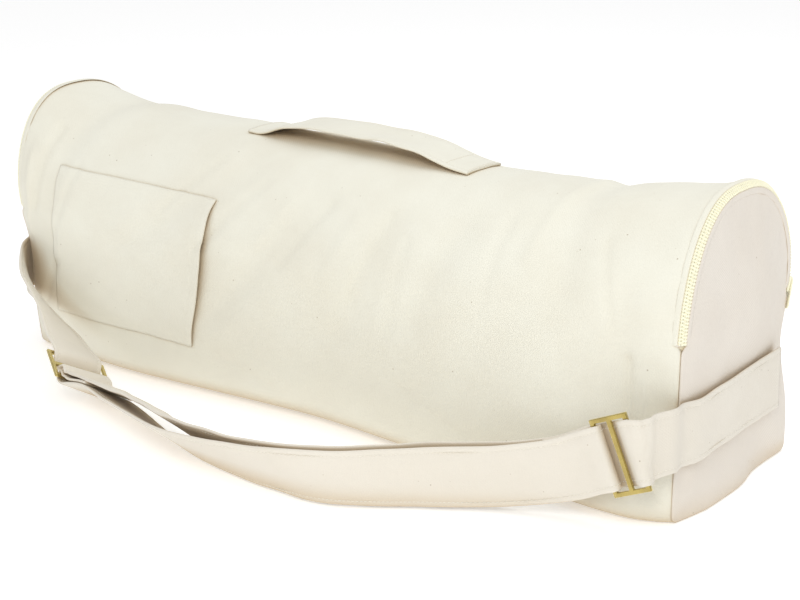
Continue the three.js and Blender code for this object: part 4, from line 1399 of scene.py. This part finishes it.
def build_flecks():
    """Sparse dark seed flecks of unbleached cotton, as a mask."""
    group = new_group(
        "seed_flecks",
        [("Vector", "NodeSocketVector", None), ("Scale", "NodeSocketFloat", 90.0)],
        [("Mask", "NodeSocketFloat")],
    )
    wires = Wires(group)
    entry = next(node for node in group.nodes if node.type == "GROUP_INPUT")
    exit_node = next(node for node in group.nodes if node.type == "GROUP_OUTPUT")
    cells = wires.node("ShaderNodeTexVoronoi")
    wires.feed(cells.inputs["Vector"], entry.outputs["Vector"])
    wires.feed(cells.inputs["Scale"], entry.outputs["Scale"])
    spot = wires.spread(cells.outputs["Distance"], 0.03, 0.065, 1.0, 0.0)
    tint = wires.node("ShaderNodeSeparateColor")
    wires.feed(tint.inputs[0], cells.outputs["Color"])
    chosen = wires.spread(tint.outputs[0], 0.45, 0.85)
    wires.feed(exit_node.inputs["Mask"], wires.maths("MULTIPLY", spot, chosen, clamp=True))
    return group


weave_group = build_weave()
fleck_group = build_flecks()


def new_material(name):
    """Material with a Principled shader, and its wires."""
    material = bpy.data.materials.new(name)
    material.use_nodes = True
    shader = material.node_tree.nodes["Principled BSDF"]
    return material, shader, Wires(material.node_tree)


def use_group(wires, group, **values):
    """Place a group in a material with its own values."""
    made = wires.node("ShaderNodeGroup")
    made.node_tree = group
    for key, value in values.items():
        wires.feed(made.inputs[key], value)
    return made


# Warm brown of the painted shade in crevices, gaps and hollows of the cloth.
painted_crevice_shade_brown = (0.60, 0.47, 0.30, 1)


def cloth_material(name, light, warm, fleck, threads, relief_depth, roughness=0.88, sheen=0.15):
    """Cotton cloth: weave relief, uneven yarn, soft colour change and seed flecks, with painted shade: darker
    and warmer towards the bottom, and brown in crevices from ambient occlusion.
    """
    material, shader, wires = new_material(name)
    flat = wires.node("ShaderNodeUVMap", uv_map="cloth").outputs["UV"]
    weave = use_group(wires, weave_group, Vector=flat, Threads=threads)
    flecks = use_group(wires, fleck_group, Vector=flat, Scale=85.0)
    place = wires.node("ShaderNodeTexCoord").outputs["Object"]
    mottle = wires.spread(wires.noise(place, 14.0, 3.0, 0.55), 0.35, 0.65)
    cloudy = wires.maths("MULTIPLY", mottle, 0.5)
    share = wires.maths("ADD", cloudy, wires.maths("MULTIPLY", weave.outputs["Yarn"], 0.5))
    colour = wires.blend(share, light, warm)
    parts = wires.node("ShaderNodeSeparateXYZ")
    wires.feed(parts.inputs[0], place)
    # Painted shade: below 13 cm the colour is blended towards the warm one, most strongly at the floor.
    low = wires.spread(parts.outputs["Z"], 0.0, 0.13, 0.55, 0.0)
    colour = wires.blend(low, colour, warm)
    # Painted shade: where ambient occlusion finds crevices, gaps and hollows, the colour is blended towards a
    # warm brown.
    crevice = wires.node("ShaderNodeAmbientOcclusion", samples=8)
    crevice.inputs["Distance"].default_value = 0.022
    shade = wires.spread(crevice.outputs["AO"], 0.25, 0.95, 0.75, 0.0)
    colour = wires.blend(shade, colour, painted_crevice_shade_brown)
    faint = wires.maths("MULTIPLY", flecks.outputs["Mask"], 0.6)
    colour = wires.blend(faint, colour, fleck)
    wires.feed(shader.inputs["Base Color"], colour)
    shader.inputs["Roughness"].default_value = roughness
    shader.inputs["Sheen Weight"].default_value = sheen
    shader.inputs["Sheen Roughness"].default_value = 0.5
    shader.inputs["Specular IOR Level"].default_value = 0.25
    bump = wires.node("ShaderNodeBump")
    bump.inputs["Strength"].default_value = 0.5
    bump.inputs["Distance"].default_value = relief_depth
    wires.feed(bump.inputs["Height"], weave.outputs["Height"])
    wires.feed(shader.inputs["Normal"], bump.outputs["Normal"])
    return material


def thread_material():
    """Cotton thread of the stitches, with a fine twist."""
    material, shader, wires = new_material("cotton_thread")
    place = wires.node("ShaderNodeTexCoord").outputs["Object"]
    uneven = wires.noise(place, 900.0, 2.0)
    wires.feed(
        shader.inputs["Base Color"],
        wires.blend(uneven, (0.80, 0.77, 0.67, 1), (0.90, 0.88, 0.80, 1)),
    )
    shader.inputs["Roughness"].default_value = 0.7
    return material


def teeth_material():
    """Moulded pale yellow teeth, satin, with small colour changes."""
    material, shader, wires = new_material("moulded_teeth")
    place = wires.node("ShaderNodeTexCoord").outputs["Object"]
    uneven = wires.noise(place, 160.0, 2.0)
    wires.feed(
        shader.inputs["Base Color"],
        wires.blend(uneven, (0.90, 0.87, 0.66, 1), (0.94, 0.92, 0.74, 1)),
    )
    wires.feed(shader.inputs["Roughness"], wires.spread(uneven, 0.3, 0.7, 0.35, 0.5))
    return material


def brass_material():
    """Brushed brass with duller patches and fine scratches, and painted reflection: dark where it faces the
    view, a painted highlight towards its grazing edges.
    """
    material, shader, wires = new_material("brushed_brass")
    place = wires.node("ShaderNodeTexCoord").outputs["Object"]
    dull = wires.spread(wires.noise(place, 45.0, 3.0, 0.6), 0.35, 0.75)
    # Painted reflection by facing: the face-on colour is darkened, and the grazing edges are lightened as a
    # painted highlight.
    slant = wires.node("ShaderNodeLayerWeight")
    slant.inputs["Blend"].default_value = 0.5
    painted_edge_highlight = wires.spread(slant.outputs["Facing"], 0.15, 0.75)
    dull_patches_and_painted_dark = wires.blend(dull, (0.50, 0.39, 0.12, 1), (0.30, 0.22, 0.07, 1))
    wires.feed(shader.inputs["Base Color"], wires.blend(painted_edge_highlight, dull_patches_and_painted_dark, (0.85, 0.74, 0.38, 1)))
    shader.inputs["Metallic"].default_value = 1.0
    fine = wires.noise(wires.stretched(place, (900, 900, 60)), 1.0, 3.0)
    wires.feed(shader.inputs["Roughness"], wires.spread(fine, 0.3, 0.7, 0.16, 0.3))
    bump = wires.node("ShaderNodeBump")
    bump.inputs["Strength"].default_value = 0.25
    bump.inputs["Distance"].default_value = 0.00008
    wires.feed(bump.inputs["Height"], fine)
    wires.feed(shader.inputs["Normal"], bump.outputs["Normal"])
    return material


def dress(piece, material):
    """Give a piece its only material."""
    piece.data.materials.clear()
    piece.data.materials.append(material)


# The bag

place_camera()
light_studio()
lay_floor()

seed_brown = (0.30, 0.22, 0.13, 1)
canvas = cloth_material(
    "unbleached_canvas", (0.86, 0.85, 0.75, 1), (0.79, 0.76, 0.65, 1), seed_brown, 900.0, 0.0003
)
# The end panels are the same canvas as the body; this darker, pinker copy of it is painted shade of the ends.
panel_canvas_painted_shade = cloth_material(
    "panel_canvas_painted_shade", (0.80, 0.75, 0.68, 1), (0.75, 0.69, 0.61, 1), seed_brown, 900.0, 0.0003
)
strap_canvas = cloth_material(
    "strap_canvas", (0.81, 0.77, 0.69, 1), (0.74, 0.69, 0.60, 1), seed_brown, 800.0, 0.0003
)
zip_cloth = cloth_material(
    "zip_tape_weave", (0.92, 0.90, 0.72, 1), (0.88, 0.85, 0.66, 1), (0.70, 0.66, 0.45, 1), 1600.0, 0.0002
)
thread = thread_material()
moulded = teeth_material()
brass = brass_material()

dress(sew_body(), canvas)
for name, side in (("right", 1), ("left", -1)):
    dress(end_panel(f"end_panel_{name}", side), panel_canvas_painted_shade)
    tape, teeth, lips = make_zip(name, side)
    dress(tape, zip_cloth)
    for row in teeth:
        dress(row, moulded)
    dress(lips[0], canvas)
    dress(lips[1], panel_canvas_painted_shade)
    dress(make_pull(name, side), moulded)

handle, handle_points, handle_section = carry_handle()
dress(handle, canvas)
dress(handle_stitches(handle_points, handle_section), thread)
pocket, pocket_points, pocket_normals = front_pocket()
dress(pocket, canvas)
dress(pocket_stitches(pocket_points, pocket_normals), thread)

for piece, stitches in (shoulder_strap(), middle_strap()):
    dress(piece, strap_canvas)
    dress(stitches, thread)
dress(make_slider("slider_right", slider_right_at), brass)
dress(make_slider("slider_left", slider_left_at), brass)

for pattern in (tooth, stitch):
    bpy.data.objects.remove(pattern, do_unlink=True)
